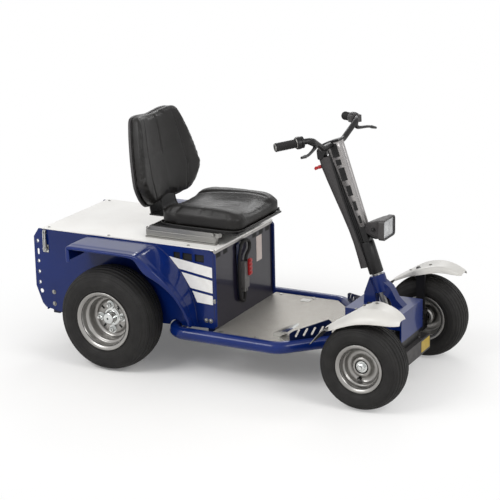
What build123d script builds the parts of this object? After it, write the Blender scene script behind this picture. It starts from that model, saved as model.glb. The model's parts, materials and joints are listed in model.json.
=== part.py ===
from build123d import *
import os
from collections import namedtuple
from math import cos, radians, sin, sqrt

os.makedirs("parts", exist_ok=True)

# Electric tow tractor, millimetres. +X is forward, +Y is left, +Z is up, z = 0 is the ground.
# Stations are distances ahead of the rear axle; the origin is halfway along the whole machine.

# Chassis
WHEELBASE = 1074
FRONT_TRACK = 621
REAR_REACH = 480
FRONT_TYRE_RADIUS = 165
REAR_AXLE_X = -(WHEELBASE + FRONT_TYRE_RADIUS - REAR_REACH) / 2
BOX_HALF = 245
TYRE_GAP = 6
REAR_TYRE_WIDTH = 150
REAR_TRACK = 2 * (BOX_HALF + TYRE_GAP) + REAR_TYRE_WIDTH
SIDES = (("right", -1), ("left", 1))
SHEET = 4
SEAT_BITE = 0.3
RUNNING_GAP = 0.05

Wheel = namedtuple(
    "Wheel",
    "station track radius width bead flange rim_width disc hub_radius hub_in hub_out bore bore_end",
)
WHEELS = {
    "front": Wheel(WHEELBASE, FRONT_TRACK, FRONT_TYRE_RADIUS, 126, 76.2, 93, 95, 10, 28, -36, 32, 10, 22),
    "rear": Wheel(0, REAR_TRACK, 207, REAR_TYRE_WIDTH, 101.6, 119, 130, -4, 38, -30, 20, 15, 10),
}
RIM_WALL = 5
RIM_LIP = 4
TREAD_PART = 0.8
SHOULDER_DROP = 11

# Battery box between the side panels
PANEL_TOP = 503
PANEL_FRONT = 427
FRONT_PANEL_X = 415
FRONT_PANEL_Z = (184, 497)
REAR_PANEL_X = -371
TRAY_Z = 262
TRAY_SHEET = 3
VENT_STATIONS = ((241, 271), (281, 324), (336, 377))
VENT_Z = (450, 480)
MARGIN_X = -396
MARGIN_HOLE = 5.5
MARGIN_HOLES_Z = (275, 320, 365, 450)
MARGIN_SLOT_Z = 405
MARGIN_SLOT_LENGTH = 26
TIE_HOLE = (-390, 238, 9)
JAW_RADIUS = 35
JAW_BORE = 10.5
BATTERY = ((-330, 385), BOX_HALF - 30, (TRAY_Z + TRAY_SHEET, 470))

MOTOR_RADIUS = 46
MOTOR_LENGTH = 230

# Tubes and cross members
TUBE_RADIUS = 24
TUBE_WALL = 3
TUBE_Z = 172
TUBE_HALF = 300
TUBE_REAR_X = 240
TUBE_BEND_X = WHEELBASE - 359
TUBE_NOSE = (WHEELBASE - 144, 78)
TUBE_BEND_RADIUS = 75
RAIL_Y = (70, 110)
RAIL_Z = (150, 178)
CROSS_TOP = 200
NOSE_BLOCK = (WHEELBASE - 194, WHEELBASE - 144)
NOSE_HALF = 112
FLOOR_SHEET = 6
FLOOR_HALF = 272

# Rear mudguards, arched about the wheel's centre
GUARD_OUT = BOX_HALF + 160
GUARD_TAPER = (241, 441)
GUARD_FOOT_OUT = 300
GUARD_RADIUS = 341
GUARD_CENTRE_Z = 200
GUARD_TOP = 500
GUARD_REAR_X = -158
GUARD_FLAP_Z = 432
GUARD_LIP = (25, 15, 38)

# Steering: column axis through STEER_FOOT, leaning back by STEER_LEAN.
# The column's outline is given ahead of the front axle.
STEER_FOOT = (WHEELBASE - 89, 430)
STEER_LEAN = 19
SHAFT_RADIUS = 18
SHAFT_SOCKET = 40
HEAD_SPAN = (-85, -20)
HEAD_RADIUS = 30
COLUMN_HALF = 20
SLEEVE_RADIUS = 28
SLEEVE_SPAN = (-12, 115)
COLUMN_OUTLINE = (
    (-67, 422),
    (-234, 929),
    (-299, 908),
    (-328, 863),
    (-190, 620),
    (-159, 535),
    (-144, 452),
)
KINGPIN_Y = 235
KINGPIN_RADIUS = 10
STEER_ARM = 60
ROD_Z = 192
ROD_RADIUS = 6
ROD_PIN = 5
PITMAN_X = WHEELBASE - 70
PITMAN_Z = (203, 213)
SHAFT_FOOT_X = WHEELBASE - 11
BEAM_X = (WHEELBASE - 25, WHEELBASE + 25)
BEAM_Z = (142, 182)
BOSS_RADIUS = 20
BOSS_TOP = 188
NOSE_FRAME_X = (WHEELBASE - 169, WHEELBASE + 61)
NOSE_FRAME_Z = (CROSS_TOP - 4, 300)
NOSE_FRAME_HALF = 105
SKIRT_X = WHEELBASE + 76
SKIRT_HALF = 148
SKIRT_Z = (91, 150)

# Handlebar
BAR_RADIUS = 11
BAR_HEAD = (WHEELBASE - 262, 90, 903)
BAR_BEND = (WHEELBASE - 253, 205, 960)
BAR_END = (WHEELBASE - 348, 300, 945)
GRIP_RADIUS = 17
GRIP_LENGTH = 118

# Seat on the lid
LID_Z = (PANEL_TOP, PANEL_TOP + SHEET)
LID_FRONT = 419
HINGE = (423.5, 505)
HINGE_RADIUS = 4
RAIL_TOP = 556
PLUG_DEPTH = 22
PLUG_WIDTHS = (-36, 3)
PLUG_HEIGHTS = (290, 400)
PLUG_GRIP = 14
PLUG_GRIP_WIDTHS = (-14, 12)
PLUG_GRIP_HEIGHTS = (340, 410)
CABLE_RADIUS = 7
CABLE_ROUTE = ((-6, 400), (-6, 420), (34, 440), (24, 484), (-62, 484), (-62, 262), (-40, 240))
CABLE_ROUTE += ((-16, 240), (-16, 290))
PAN_TOP = 562
CUSHION = ((135, 508), 200, (PAN_TOP, 636))
PAN_INSET = 14
BACK_FOOT = (95, 610)
BACK_LEAN = 9
BACK_PAD = 44
BACK_SHELL = 20
BACK_WRAP = 38
BACK_OUTLINE = ((0, 16), (62, 0), (150, 6), (232, 92), (216, 205), (150, 372), (0, 380))


def level_plane(z):
    """Horizontal plane: local x is the station, local y is the width."""
    return Plane(origin=(REAR_AXLE_X, 0, z))


def side_plane(y):
    """Upright lengthwise plane: local x is the station, local y is the height, normal to the right."""
    return Plane(origin=(REAR_AXLE_X, y, 0), x_dir=(1, 0, 0), z_dir=(0, -1, 0))


def cross_plane(station):
    """Upright crosswise plane: local x is the width, local y is the height, normal forward."""
    return Plane(origin=(REAR_AXLE_X + station, 0, 0), x_dir=(0, 1, 0), z_dir=(1, 0, 0))


def steer_plane(along):
    """Plane square to the steering axis, this far up it from the column's foot."""
    lean = radians(STEER_LEAN)
    foot = Vector(REAR_AXLE_X + STEER_FOOT[0], 0, STEER_FOOT[1])
    axis = Vector(-sin(lean), 0, cos(lean))
    return Plane(origin=foot + axis * along, x_dir=(0, 1, 0), z_dir=axis)


def back_plane(depth):
    """Plane of the backrest, this far behind its front face: local x is the width."""
    lean = radians(BACK_LEAN)
    foot = Vector(REAR_AXLE_X + BACK_FOOT[0], 0, BACK_FOOT[1])
    normal = Vector(cos(lean), 0, sin(lean))
    return Plane(origin=foot - normal * depth, x_dir=(0, 1, 0), z_dir=normal)


def at(station, y, z):
    """Place given by its station, width and height."""
    return Location((REAR_AXLE_X + station, y, z))


def ahead(points):
    """Points given ahead of the front axle, as stations."""
    return [(WHEELBASE + x, z) for x, z in points]


def block(stations, widths, heights, mode=Mode.ADD):
    """Box between two stations, two widths and two heights, in the part being built."""
    length = stations[1] - stations[0]
    width = widths[1] - widths[0]
    height = heights[1] - heights[0]
    with Locations(at(sum(stations) / 2, sum(widths) / 2, sum(heights) / 2)):
        Box(length, width, height, mode=mode)


def sided(side, low, high):
    """Width span from low to high on one side, in rising order."""
    return tuple(sorted((side * low, side * high)))


def save(part, name):
    """Label a finished piece and write it."""
    part.label = name
    export_step(part, f"parts/{name}.step")


def wheel_plane(wheel, side):
    """Axial half plane of a wheel: local x points outward, local y is the radius."""
    origin = (REAR_AXLE_X + wheel.station, side * wheel.track / 2, wheel.radius)
    return Plane(origin=origin, x_dir=(0, side, 0), z_dir=(side, 0, 0))


def wheel_axis(wheel):
    return Axis((REAR_AXLE_X + wheel.station, 0, wheel.radius), (0, 1, 0))


def make_tyre(name, wheel, side):
    half_rim = wheel.rim_width / 2
    tread = wheel.width / 2 * TREAD_PART
    shoulder = wheel.radius - SHOULDER_DROP
    middle = (wheel.flange + wheel.radius) / 2 - 2
    bead = wheel.bead - SEAT_BITE
    with BuildPart() as tyre:
        with BuildSketch(wheel_plane(wheel, side)):
            with BuildLine():
                Line((-half_rim, bead), (-half_rim, wheel.flange))
                ThreePointArc((-half_rim, wheel.flange), (-wheel.width / 2, middle), (-tread, shoulder))
                ThreePointArc((-tread, shoulder), (0, wheel.radius), (tread, shoulder))
                ThreePointArc((tread, shoulder), (wheel.width / 2, middle), (half_rim, wheel.flange))
                Line((half_rim, wheel.flange), (half_rim, bead))
                Line((half_rim, bead), (-half_rim, bead))
            make_face()
        revolve(axis=wheel_axis(wheel))
    save(tyre.part, name)


def make_rim(name, wheel, side):
    half_rim = wheel.rim_width / 2
    lip = half_rim + RIM_LIP
    barrel = wheel.bead - RIM_WALL
    disc_back = wheel.disc - RIM_WALL
    bore = wheel.bore + RUNNING_GAP
    profile = (
        (-lip, barrel),
        (-lip, wheel.flange),
        (-half_rim, wheel.flange),
        (-half_rim, wheel.bead),
        (half_rim, wheel.bead),
        (half_rim, wheel.flange),
        (lip, wheel.flange),
        (lip, barrel),
        (wheel.disc, barrel),
        (wheel.disc, wheel.hub_radius),
        (wheel.hub_out, wheel.hub_radius - RIM_WALL),
        (wheel.hub_out, 0),
        (wheel.bore_end, 0),
        (wheel.bore_end, bore),
        (wheel.hub_in, bore),
        (wheel.hub_in, wheel.hub_radius),
        (disc_back, wheel.hub_radius),
        (disc_back, barrel),
    )
    with BuildPart() as rim:
        with BuildSketch(wheel_plane(wheel, side)):
            Polygon(*profile, align=None)
        revolve(axis=wheel_axis(wheel))
    save(rim.part, name)


def make_frame_tube(name, side):
    route = (
        (TUBE_REAR_X, side * RAIL_Y[1]),
        (TUBE_REAR_X, side * TUBE_HALF),
        (TUBE_BEND_X, side * TUBE_HALF),
        (TUBE_NOSE[0], side * TUBE_NOSE[1]),
    )
    with BuildPart() as tube:
        with BuildLine(level_plane(TUBE_Z)) as path:
            FilletPolyline(*route, radius=TUBE_BEND_RADIUS)
        with BuildSketch(Plane(origin=path.line @ 0, z_dir=path.line % 0)):
            Circle(TUBE_RADIUS)
            Circle(TUBE_RADIUS - TUBE_WALL, mode=Mode.SUBTRACT)
        sweep()
        outward = Keep.TOP if side < 0 else Keep.BOTTOM
        split(bisect_by=side_plane(side * NOSE_HALF), keep=outward)
    save(tube.part, name)


def make_belly_frame():
    whole = (-BOX_HALF + SHEET, BOX_HALF - SHEET)
    with BuildPart() as frame:
        for name, side in SIDES:
            block((-340, BEAM_X[0]), sided(side, *RAIL_Y), RAIL_Z)
        block((-340, -310), whole, (RAIL_Z[0], CROSS_TOP))
        block((FRONT_PANEL_X - 30, FRONT_PANEL_X), whole, (RAIL_Z[0], CROSS_TOP))
        block(NOSE_BLOCK, (-NOSE_HALF, NOSE_HALF), (RAIL_Z[0], NOSE_FRAME_Z[0]))
        for station in (-325, 400):
            with Locations(at(station, 0, RAIL_Z[0])):
                Box(20, 100, 14, align=(Align.CENTER, Align.CENTER, Align.MIN), mode=Mode.SUBTRACT)
    save(frame.part, "belly_frame")


def make_floor_plate():
    outline = (
        (LID_FRONT, -FLOOR_HALF),
        (TUBE_BEND_X - 13, -FLOOR_HALF),
        (NOSE_BLOCK[0] - 2, -98),
        (NOSE_BLOCK[0] - 2, 98),
        (TUBE_BEND_X - 13, FLOOR_HALF),
        (LID_FRONT, FLOOR_HALF),
    )
    with BuildPart() as plate:
        with BuildSketch(level_plane(RAIL_Z[1])):
            Polygon(*outline, align=None)
        extrude(amount=FLOOR_SHEET)
    save(plate.part, "floor_plate")


def make_side_panel(name, side):
    outline = (
        (-389, PANEL_TOP),
        (-414, 467),
        (-416, 259),
        (-389, 187),
        (-373, 171),
        (-300, 158),
        (PANEL_FRONT - 14, 188),
        (PANEL_FRONT, 200),
        (PANEL_FRONT, 487),
        (396, PANEL_TOP),
    )
    inner_face = side_plane(side * (BOX_HALF - SHEET))
    outward = SHEET if side < 0 else -SHEET
    with BuildPart() as panel:
        with BuildSketch(inner_face):
            Polygon(*outline, align=None)
            for low, high in VENT_STATIONS:
                with Locations(((low + high) / 2, sum(VENT_Z) / 2)):
                    Rectangle(high - low, VENT_Z[1] - VENT_Z[0], mode=Mode.SUBTRACT)
            for height in MARGIN_HOLES_Z:
                with Locations((MARGIN_X, height)):
                    Circle(MARGIN_HOLE, mode=Mode.SUBTRACT)
            with Locations((MARGIN_X, MARGIN_SLOT_Z)):
                SlotOverall(MARGIN_SLOT_LENGTH, 2 * MARGIN_HOLE, rotation=90, mode=Mode.SUBTRACT)
            with Locations(TIE_HOLE[:2]):
                Circle(TIE_HOLE[2], mode=Mode.SUBTRACT)
            with Locations((0, WHEELS["rear"].radius)):
                Circle(44, mode=Mode.SUBTRACT)
                Rectangle(88, 120, align=(Align.CENTER, Align.MAX), mode=Mode.SUBTRACT)
            with Locations((TUBE_REAR_X + 3, TUBE_Z)):
                Circle(TUBE_RADIUS + 6, mode=Mode.SUBTRACT)
        extrude(amount=outward)
    save(panel.part, name)


def make_front_panel():
    inside = BOX_HALF - SHEET
    with BuildPart() as panel:
        block((FRONT_PANEL_X, FRONT_PANEL_X + SHEET), (-inside, inside), FRONT_PANEL_Z)
        with BuildSketch(cross_plane(FRONT_PANEL_X)):
            with Locations((-165, 462), (-165, 436), (165, 462), (165, 436)):
                Rectangle(70, 14)
        extrude(amount=SHEET, mode=Mode.SUBTRACT)
    save(panel.part, "front_panel")


def make_box_tray():
    inside = BOX_HALF - SHEET
    with BuildPart() as tray:
        block((REAR_PANEL_X, REAR_PANEL_X + SHEET), (-inside, inside), (160, 500))
        block((REAR_PANEL_X, FRONT_PANEL_X), (-inside, inside), (TRAY_Z, TRAY_Z + TRAY_SHEET))
    save(tray.part, "box_tray")


def make_battery_pack():
    stations, half, heights = BATTERY
    with BuildPart() as pack:
        block(stations, (-half, half), heights)
    save(pack.part, "battery_pack")


def arch_region(inset_rear, inset_top, inset_arc):
    """Face of the wheel arch seen from the side, drawn in by three insets, closed well below it."""
    radius = GUARD_RADIUS - inset_arc
    top = GUARD_TOP - inset_top
    rear = GUARD_REAR_X + inset_rear
    floor = 150 if inset_rear else GUARD_FLAP_Z
    meeting = sqrt(radius**2 - (top - GUARD_CENTRE_Z) ** 2)
    reach = radius / sqrt(2)
    low = 150 if inset_rear else TUBE_Z + TUBE_RADIUS
    with BuildSketch(mode=Mode.PRIVATE) as region:
        with BuildLine():
            Polyline((rear, floor), (rear, top), (meeting, top))
            ThreePointArc((meeting, top), (reach, GUARD_CENTRE_Z + reach), (radius, GUARD_CENTRE_Z))
            Polyline((radius, GUARD_CENTRE_Z), (radius, low), (rear, floor))
        make_face()
    return region.sketch


def make_mudguard(name, side):
    outer = arch_region(0, 0, 0)
    strip = outer - arch_region(SHEET, SHEET, SHEET)
    lip = outer - arch_region(*GUARD_LIP)
    inward = -1 if side < 0 else 1
    foot = TUBE_Z + TUBE_RADIUS
    beyond = (
        (side * GUARD_FOOT_OUT, foot - SHEET),
        (side * GUARD_FOOT_OUT, foot),
        (side * GUARD_OUT, GUARD_TAPER[1]),
        (side * 2 * GUARD_OUT, GUARD_TAPER[1]),
        (side * 2 * GUARD_OUT, foot - SHEET),
    )
    with BuildPart() as guard:
        with BuildSketch(side_plane(side * GUARD_OUT)):
            add(strip)
        extrude(amount=inward * (GUARD_OUT - BOX_HALF))
        with BuildSketch(side_plane(side * GUARD_OUT)):
            add(lip)
        extrude(amount=inward * SHEET)
        with BuildSketch(cross_plane(GUARD_TAPER[0] - 40)):
            Polygon(*beyond, align=None)
        extrude(amount=GUARD_RADIUS, mode=Mode.SUBTRACT)
    save(guard.part, name)


def make_drive_axle():
    wheel = WHEELS["rear"]
    centre = (REAR_AXLE_X, 0, wheel.radius)
    across = Plane(origin=centre, x_dir=(1, 0, 0), z_dir=(0, 1, 0))
    stub = wheel.track / 2 + wheel.bore_end - 1
    with BuildPart() as axle:
        with BuildSketch(across):
            Circle(wheel.radius - RAIL_Z[1])
        extrude(amount=BOX_HALF + 17, both=True)
        with BuildSketch(across):
            Circle(wheel.bore)
        extrude(amount=stub, both=True)
        for name, side in SIDES:
            with BuildSketch(across.offset(side * (BOX_HALF + 5))):
                Circle(70)
            extrude(amount=side * 38)
            block((-35, 35), sided(side, *RAIL_Y), (RAIL_Z[1], wheel.radius))
        with BuildSketch(across):
            Circle(52)
        extrude(amount=58, both=True)
        with BuildSketch(cross_plane(0)):
            with Locations((0, wheel.radius)):
                Circle(MOTOR_RADIUS)
        extrude(amount=MOTOR_LENGTH)
    save(axle.part, "drive_axle")


def make_tow_jaw():
    root = REAR_PANEL_X - 8
    pin = JAW_RADIUS - REAR_REACH
    with BuildPart() as jaw:
        block((root, REAR_PANEL_X), (-60, 60), (200, 280))
        for low in (217, 255):
            with BuildSketch(level_plane(low)):
                with Locations((root, 0)):
                    Rectangle(root - pin + 5, 2 * JAW_RADIUS, align=(Align.MAX, Align.CENTER))
                with Locations((pin, 0)):
                    Circle(JAW_RADIUS)
                    Circle(JAW_BORE, mode=Mode.SUBTRACT)
            extrude(amount=8)
    save(jaw.part, "tow_jaw")


def make_head_frame():
    half = NOSE_FRAME_HALF
    rear, front = NOSE_FRAME_X
    low, top = NOSE_FRAME_Z
    sheet = 6
    rear_arm = ahead(((-106, 402), (-84, 350), (-82, top), (-130, top), (-128, 340)))
    front_arm = ahead(((-56, 396), (-22, 372), (3, 328), (32, top), (-12, top), (-24, 326), (-62, 350)))
    with BuildPart() as frame:
        block((rear, front), (-half, half), (top - sheet, top))
        block((front - sheet, front), (-half, half), (190, top))
        block((rear, rear + sheet), (-half, half), (low, top))
        for name, side in SIDES:
            block((rear, front), sided(side, half - sheet, half), (238, top))
        with BuildSketch(steer_plane(HEAD_SPAN[0])):
            Circle(HEAD_RADIUS)
        extrude(amount=HEAD_SPAN[1] - HEAD_SPAN[0])
        with BuildSketch(side_plane(0)):
            Polygon(*rear_arm, align=None)
            Polygon(*front_arm, align=None)
        extrude(amount=20, both=True)
        with BuildSketch(steer_plane(HEAD_SPAN[0] - 40)):
            Circle(SHAFT_RADIUS + 4)
        extrude(amount=40, mode=Mode.SUBTRACT)
        with BuildSketch(steer_plane(HEAD_SPAN[0])):
            Circle(SHAFT_RADIUS + RUNNING_GAP)
        extrude(amount=HEAD_SPAN[1] - HEAD_SPAN[0] + 20, mode=Mode.SUBTRACT)
        with BuildSketch(level_plane(top - sheet)):
            with Locations((WHEELBASE - 43, 0)):
                Circle(SHAFT_RADIUS + 8)
        extrude(amount=sheet, mode=Mode.SUBTRACT)
    save(frame.part, "head_frame")


def make_front_skirt():
    with BuildPart() as skirt:
        block((SKIRT_X - 6, SKIRT_X), (-SKIRT_HALF, SKIRT_HALF), SKIRT_Z)
        block((BEAM_X[1], SKIRT_X - 6), (-80, 80), (SKIRT_Z[1] - 6, SKIRT_Z[1]))
        for name, side in SIDES:
            block((SKIRT_X - 38, SKIRT_X - 6), sided(side, SKIRT_HALF - 6, SKIRT_HALF), SKIRT_Z)
    save(skirt.part, "front_skirt")


def make_axle_beam():
    with BuildPart() as beam:
        block(BEAM_X, (-KINGPIN_Y + 12, KINGPIN_Y - 12), BEAM_Z)
        block((BEAM_X[1], NOSE_FRAME_X[1] - 6), (-80, 80), (SKIRT_Z[1], 230))
        for name, side in SIDES:
            with BuildSketch(level_plane(BEAM_Z[0])):
                with Locations((WHEELBASE, side * KINGPIN_Y)):
                    Circle(BOSS_RADIUS)
            extrude(amount=BOSS_TOP - BEAM_Z[0])
        with BuildSketch(level_plane(BEAM_Z[0])):
            with Locations((WHEELBASE, KINGPIN_Y), (WHEELBASE, -KINGPIN_Y)):
                Circle(KINGPIN_RADIUS + RUNNING_GAP)
        extrude(amount=BOSS_TOP - BEAM_Z[0], mode=Mode.SUBTRACT)
    save(beam.part, "axle_beam")


def make_slotted_guards():
    run = Vector(TUBE_NOSE[0] - TUBE_BEND_X, TUBE_NOSE[1] - TUBE_HALF, 0).normalized()
    base = TUBE_Z + TUBE_RADIUS
    outline = ((48, base), (48, 222), (66, 232), (206, 260), (218, 250), (218, base))
    with BuildPart() as guards:
        for name, side in SIDES:
            along = Vector(run.X, side * run.Y, 0)
            plane = Plane(
                origin=(REAR_AXLE_X + TUBE_BEND_X, side * TUBE_HALF, 0),
                x_dir=along,
                z_dir=along.cross(Vector(0, 0, 1)),
            )
            with BuildSketch(plane):
                Polygon(*outline, align=None)
                for centre in (80, 112, 144, 176):
                    with Locations((centre, 222)):
                        SlotOverall(34, 10, rotation=60, mode=Mode.SUBTRACT)
            extrude(amount=SHEET / 2, both=True)
    save(guards.part, "slotted_guards")


def make_foot_pedal():
    floor = RAIL_Z[1] + FLOOR_SHEET
    outline = ((650, floor), (680, floor), (739, 226), (735, 232), (655, 196))
    with BuildPart() as pedal:
        with BuildSketch(side_plane(-165)):
            Polygon(*outline, align=None)
        extrude(amount=50)
    save(pedal.part, "foot_pedal")


def make_battery_connector():
    """Plug on the front panel with its pull handle on the face."""
    face = FRONT_PANEL_X + SHEET
    front = face + PLUG_DEPTH
    with BuildPart() as connector:
        block((face, front), PLUG_WIDTHS, PLUG_HEIGHTS)
        block((front, front + PLUG_GRIP), PLUG_GRIP_WIDTHS, PLUG_GRIP_HEIGHTS)
    save(connector.part, "battery_connector")


def make_power_cable():
    """Cable from the top of the plug, round over the panel and back in from below."""
    station = FRONT_PANEL_X + SHEET + PLUG_DEPTH / 2
    route = [(station, y, z) for y, z in CABLE_ROUTE]
    with BuildPart() as cable:
        with BuildLine(level_plane(0)) as path:
            FilletPolyline(*route, radius=12)
        with BuildSketch(Plane(origin=path.line @ 0, z_dir=path.line % 0)):
            Circle(CABLE_RADIUS)
        sweep()
    save(cable.part, "power_cable")


def make_lid_latches():
    with BuildPart() as latches:
        for name, side in SIDES:
            block((-372, -342), sided(side, BOX_HALF, BOX_HALF + 3), (405, 440))
            block((-366, -348), sided(side, BOX_HALF + 3, BOX_HALF + 12), (412, 500))
    save(latches.part, "lid_latches")


def make_deck_lid():
    with BuildPart() as lid:
        block((REAR_PANEL_X, LID_FRONT), (-BOX_HALF, BOX_HALF), LID_Z)
        for name, side in SIDES:
            block((-355, 400), sided(side, BOX_HALF - 19, BOX_HALF - 16), (484, LID_Z[0]))
        block((-358, -355), (16 - BOX_HALF, BOX_HALF - 16), (484, LID_Z[0]))
        with BuildSketch(side_plane(0)):
            with Locations(HINGE):
                Circle(HINGE_RADIUS)
            with Locations((LID_FRONT, LID_Z[0])):
                Rectangle(4, SHEET, align=(Align.MIN, Align.MIN))
        extrude(amount=BOX_HALF - 10, both=True)
    save(lid.part, "deck_lid")


def make_seat_rails():
    with BuildPart() as rails:
        for name, side in SIDES:
            block((87, 400), sided(side, 165, 195), (LID_Z[1], 514))
            block((87, 400), sided(side, 171, 189), (514, 538))
            block((105, 415), sided(side, 167, 193), (538, RAIL_TOP))
    save(rails.part, "seat_rails")


def make_seat_frame():
    strap = 6
    behind = BACK_PAD + BACK_SHELL + strap
    foot_z = RAIL_TOP
    with BuildPart() as frame:
        stations, half, _ = CUSHION
        pan_half = half - PAN_INSET
        block((120, stations[1] - PAN_INSET), (-pan_half, pan_half), (RAIL_TOP, PAN_TOP))
        block((26, 130), (-60, 60), (foot_z, PAN_TOP))
        with BuildSketch(back_plane(behind)):
            with Locations((0, -52)):
                Rectangle(120, 190, align=(Align.CENTER, Align.MIN))
        extrude(amount=strap)
        block((0, 60), (-70, 70), (foot_z - 40, foot_z), mode=Mode.SUBTRACT)
    save(frame.part, "seat_frame")


def make_seat_cushion():
    stations, half, heights = CUSHION
    with BuildPart() as cushion:
        block(stations, (-half, half), heights)
        fillet(cushion.edges().filter_by(Axis.Z), radius=45)
        fillet(cushion.faces().sort_by(Axis.Z)[-1].edges(), radius=24)
    save(cushion.part, "seat_cushion")


def back_outline():
    """Closed outline of the backrest, widest in its lower third, notched at the bottom."""
    right = [(-x, y) for x, y in reversed(BACK_OUTLINE[1:-1])]
    return list(BACK_OUTLINE[:-1]) + [BACK_OUTLINE[-1]] + right


def bowed_slab(front, behind):
    """Slab between two depths behind the backrest's front face, wrapped forward at both sides."""
    half = max(x for x, y in BACK_OUTLINE)
    radius = (half**2 + BACK_WRAP**2) / (2 * BACK_WRAP)
    lean = radians(BACK_LEAN)
    up = Vector(-sin(lean), 0, cos(lean))
    foot = Vector(REAR_AXLE_X + BACK_FOOT[0], 0, BACK_FOOT[1])
    height = BACK_OUTLINE[-1][1]
    with BuildSketch(Plane(origin=foot - up * 20, x_dir=(0, 1, 0), z_dir=up)) as section:
        with Locations((0, -radius)):
            Circle(radius + behind)
            Circle(radius + front, mode=Mode.SUBTRACT)
        Rectangle(3 * half, 2 * behind + 4 * BACK_WRAP, mode=Mode.INTERSECT)
    return extrude(section.sketch, amount=height + 40)


def make_back_shell():
    with BuildPart() as shell:
        add(bowed_slab(BACK_PAD, BACK_PAD + BACK_SHELL))
        with BuildSketch(back_plane(BACK_PAD + BACK_SHELL)) as outline:
            Polygon(*back_outline(), align=None)
            fillet(outline.vertices().filter_by(lambda v: abs(v.Y) > 1), radius=26)
        extrude(amount=BACK_PAD + BACK_SHELL + BACK_WRAP, mode=Mode.INTERSECT)
    save(shell.part, "back_shell")


def make_back_cushion():
    with BuildPart() as cushion:
        add(bowed_slab(0, BACK_PAD))
        with BuildSketch(back_plane(BACK_PAD)) as outline:
            Polygon(*back_outline(), align=None)
            fillet(outline.vertices().filter_by(lambda v: abs(v.Y) > 1), radius=26)
            offset(amount=-6, mode=Mode.REPLACE)
        extrude(amount=BACK_PAD + BACK_WRAP, mode=Mode.INTERSECT)
        front = cushion.faces().filter_by(GeomType.CYLINDER).sort_by(Axis.X)[-1]
        fillet(front.edges(), radius=12)
    save(cushion.part, "back_cushion")


def make_steering_shaft():
    lower = (PITMAN_Z[0] - STEER_FOOT[1]) / cos(radians(STEER_LEAN))
    with BuildPart() as shaft:
        with BuildSketch(steer_plane(lower)):
            Circle(SHAFT_RADIUS)
        extrude(amount=SHAFT_SOCKET - lower)
        with BuildSketch(level_plane(PITMAN_Z[0])):
            with Locations((SHAFT_FOOT_X, 0)):
                Circle(24)
            with Locations((PITMAN_X, 0)):
                Circle(13)
            Polygon((PITMAN_X, -13), (SHAFT_FOOT_X, -22), (SHAFT_FOOT_X, 22), (PITMAN_X, 13), align=None)
        extrude(amount=PITMAN_Z[1] - PITMAN_Z[0])
        with BuildSketch(level_plane(ROD_Z - ROD_RADIUS)):
            with Locations((PITMAN_X, 0)):
                Circle(ROD_PIN)
        extrude(amount=PITMAN_Z[0] - ROD_Z + ROD_RADIUS)
    save(shaft.part, "steering_shaft")


def make_steering_column():
    with BuildPart() as column:
        with BuildSketch(side_plane(0)) as outline:
            Polygon(*ahead(COLUMN_OUTLINE), align=None)
            fillet(outline.vertices(), radius=8)
        extrude(amount=COLUMN_HALF, both=True)
        with BuildSketch(steer_plane(SLEEVE_SPAN[0])):
            Circle(SLEEVE_RADIUS)
        extrude(amount=SLEEVE_SPAN[1] - SLEEVE_SPAN[0])
        with BuildSketch(side_plane(0)):
            with Locations((BAR_HEAD[0], BAR_HEAD[2])):
                Circle(BAR_RADIUS)
        extrude(amount=COLUMN_HALF, both=True, mode=Mode.SUBTRACT)
        with BuildSketch(steer_plane(-SHAFT_SOCKET)):
            Circle(SHAFT_RADIUS)
        extrude(amount=2 * SHAFT_SOCKET, mode=Mode.SUBTRACT)
    save(column.part, "steering_column")


def make_work_lamp():
    behind = ahead((COLUMN_OUTLINE[0], COLUMN_OUTLINE[1], (-374, 929), (-374, 422)))
    with BuildPart() as lamp:
        with BuildSketch(cross_plane(WHEELBASE - 134)):
            with Locations((0, 596)):
                RectangleRounded(50, 44, 12)
        with BuildSketch(cross_plane(WHEELBASE - 56)):
            with Locations((0, 600)):
                RectangleRounded(106, 74, 16)
        loft()
        with BuildSketch(cross_plane(WHEELBASE - 56)):
            with Locations((0, 600)):
                RectangleRounded(112, 80, 18)
        extrude(amount=24)
        with BuildSketch(side_plane(0)):
            Polygon(*behind, align=None)
        extrude(amount=100, both=True, mode=Mode.SUBTRACT)
    save(lamp.part, "work_lamp")


def bar_route(side):
    """Corner points of one half of the handlebar, from its head to its end."""
    return [(x, side * y, z) for x, y, z in (BAR_HEAD, BAR_BEND, BAR_END)]


def make_handlebar():
    route = bar_route(-1)[::-1] + bar_route(1)
    with BuildPart() as bar:
        with BuildLine(level_plane(0)) as path:
            FilletPolyline(*route, radius=42)
        with BuildSketch(Plane(origin=path.line @ 0, z_dir=path.line % 0)):
            Circle(BAR_RADIUS)
        sweep()
    save(bar.part, "handlebar")


def make_bar_controls():
    with BuildPart() as controls:
        for name, side in SIDES:
            head, bend, end = [Vector(REAR_AXLE_X + x, y, z) for x, y, z in bar_route(side)]
            inward = (bend - end).normalized()
            with BuildSketch(Plane(origin=end - inward * 6, z_dir=inward)):
                Circle(GRIP_RADIUS)
            extrude(amount=6)
            with BuildSketch(Plane(origin=end, z_dir=inward)):
                Circle(GRIP_RADIUS)
                Circle(BAR_RADIUS, mode=Mode.SUBTRACT)
            extrude(amount=GRIP_LENGTH - 40)
            with BuildSketch(Plane(origin=end + inward * (GRIP_LENGTH - 40), z_dir=inward)):
                Circle(GRIP_RADIUS + 5)
                Circle(BAR_RADIUS, mode=Mode.SUBTRACT)
            extrude(amount=26)
    save(controls.part, "bar_controls")


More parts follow.
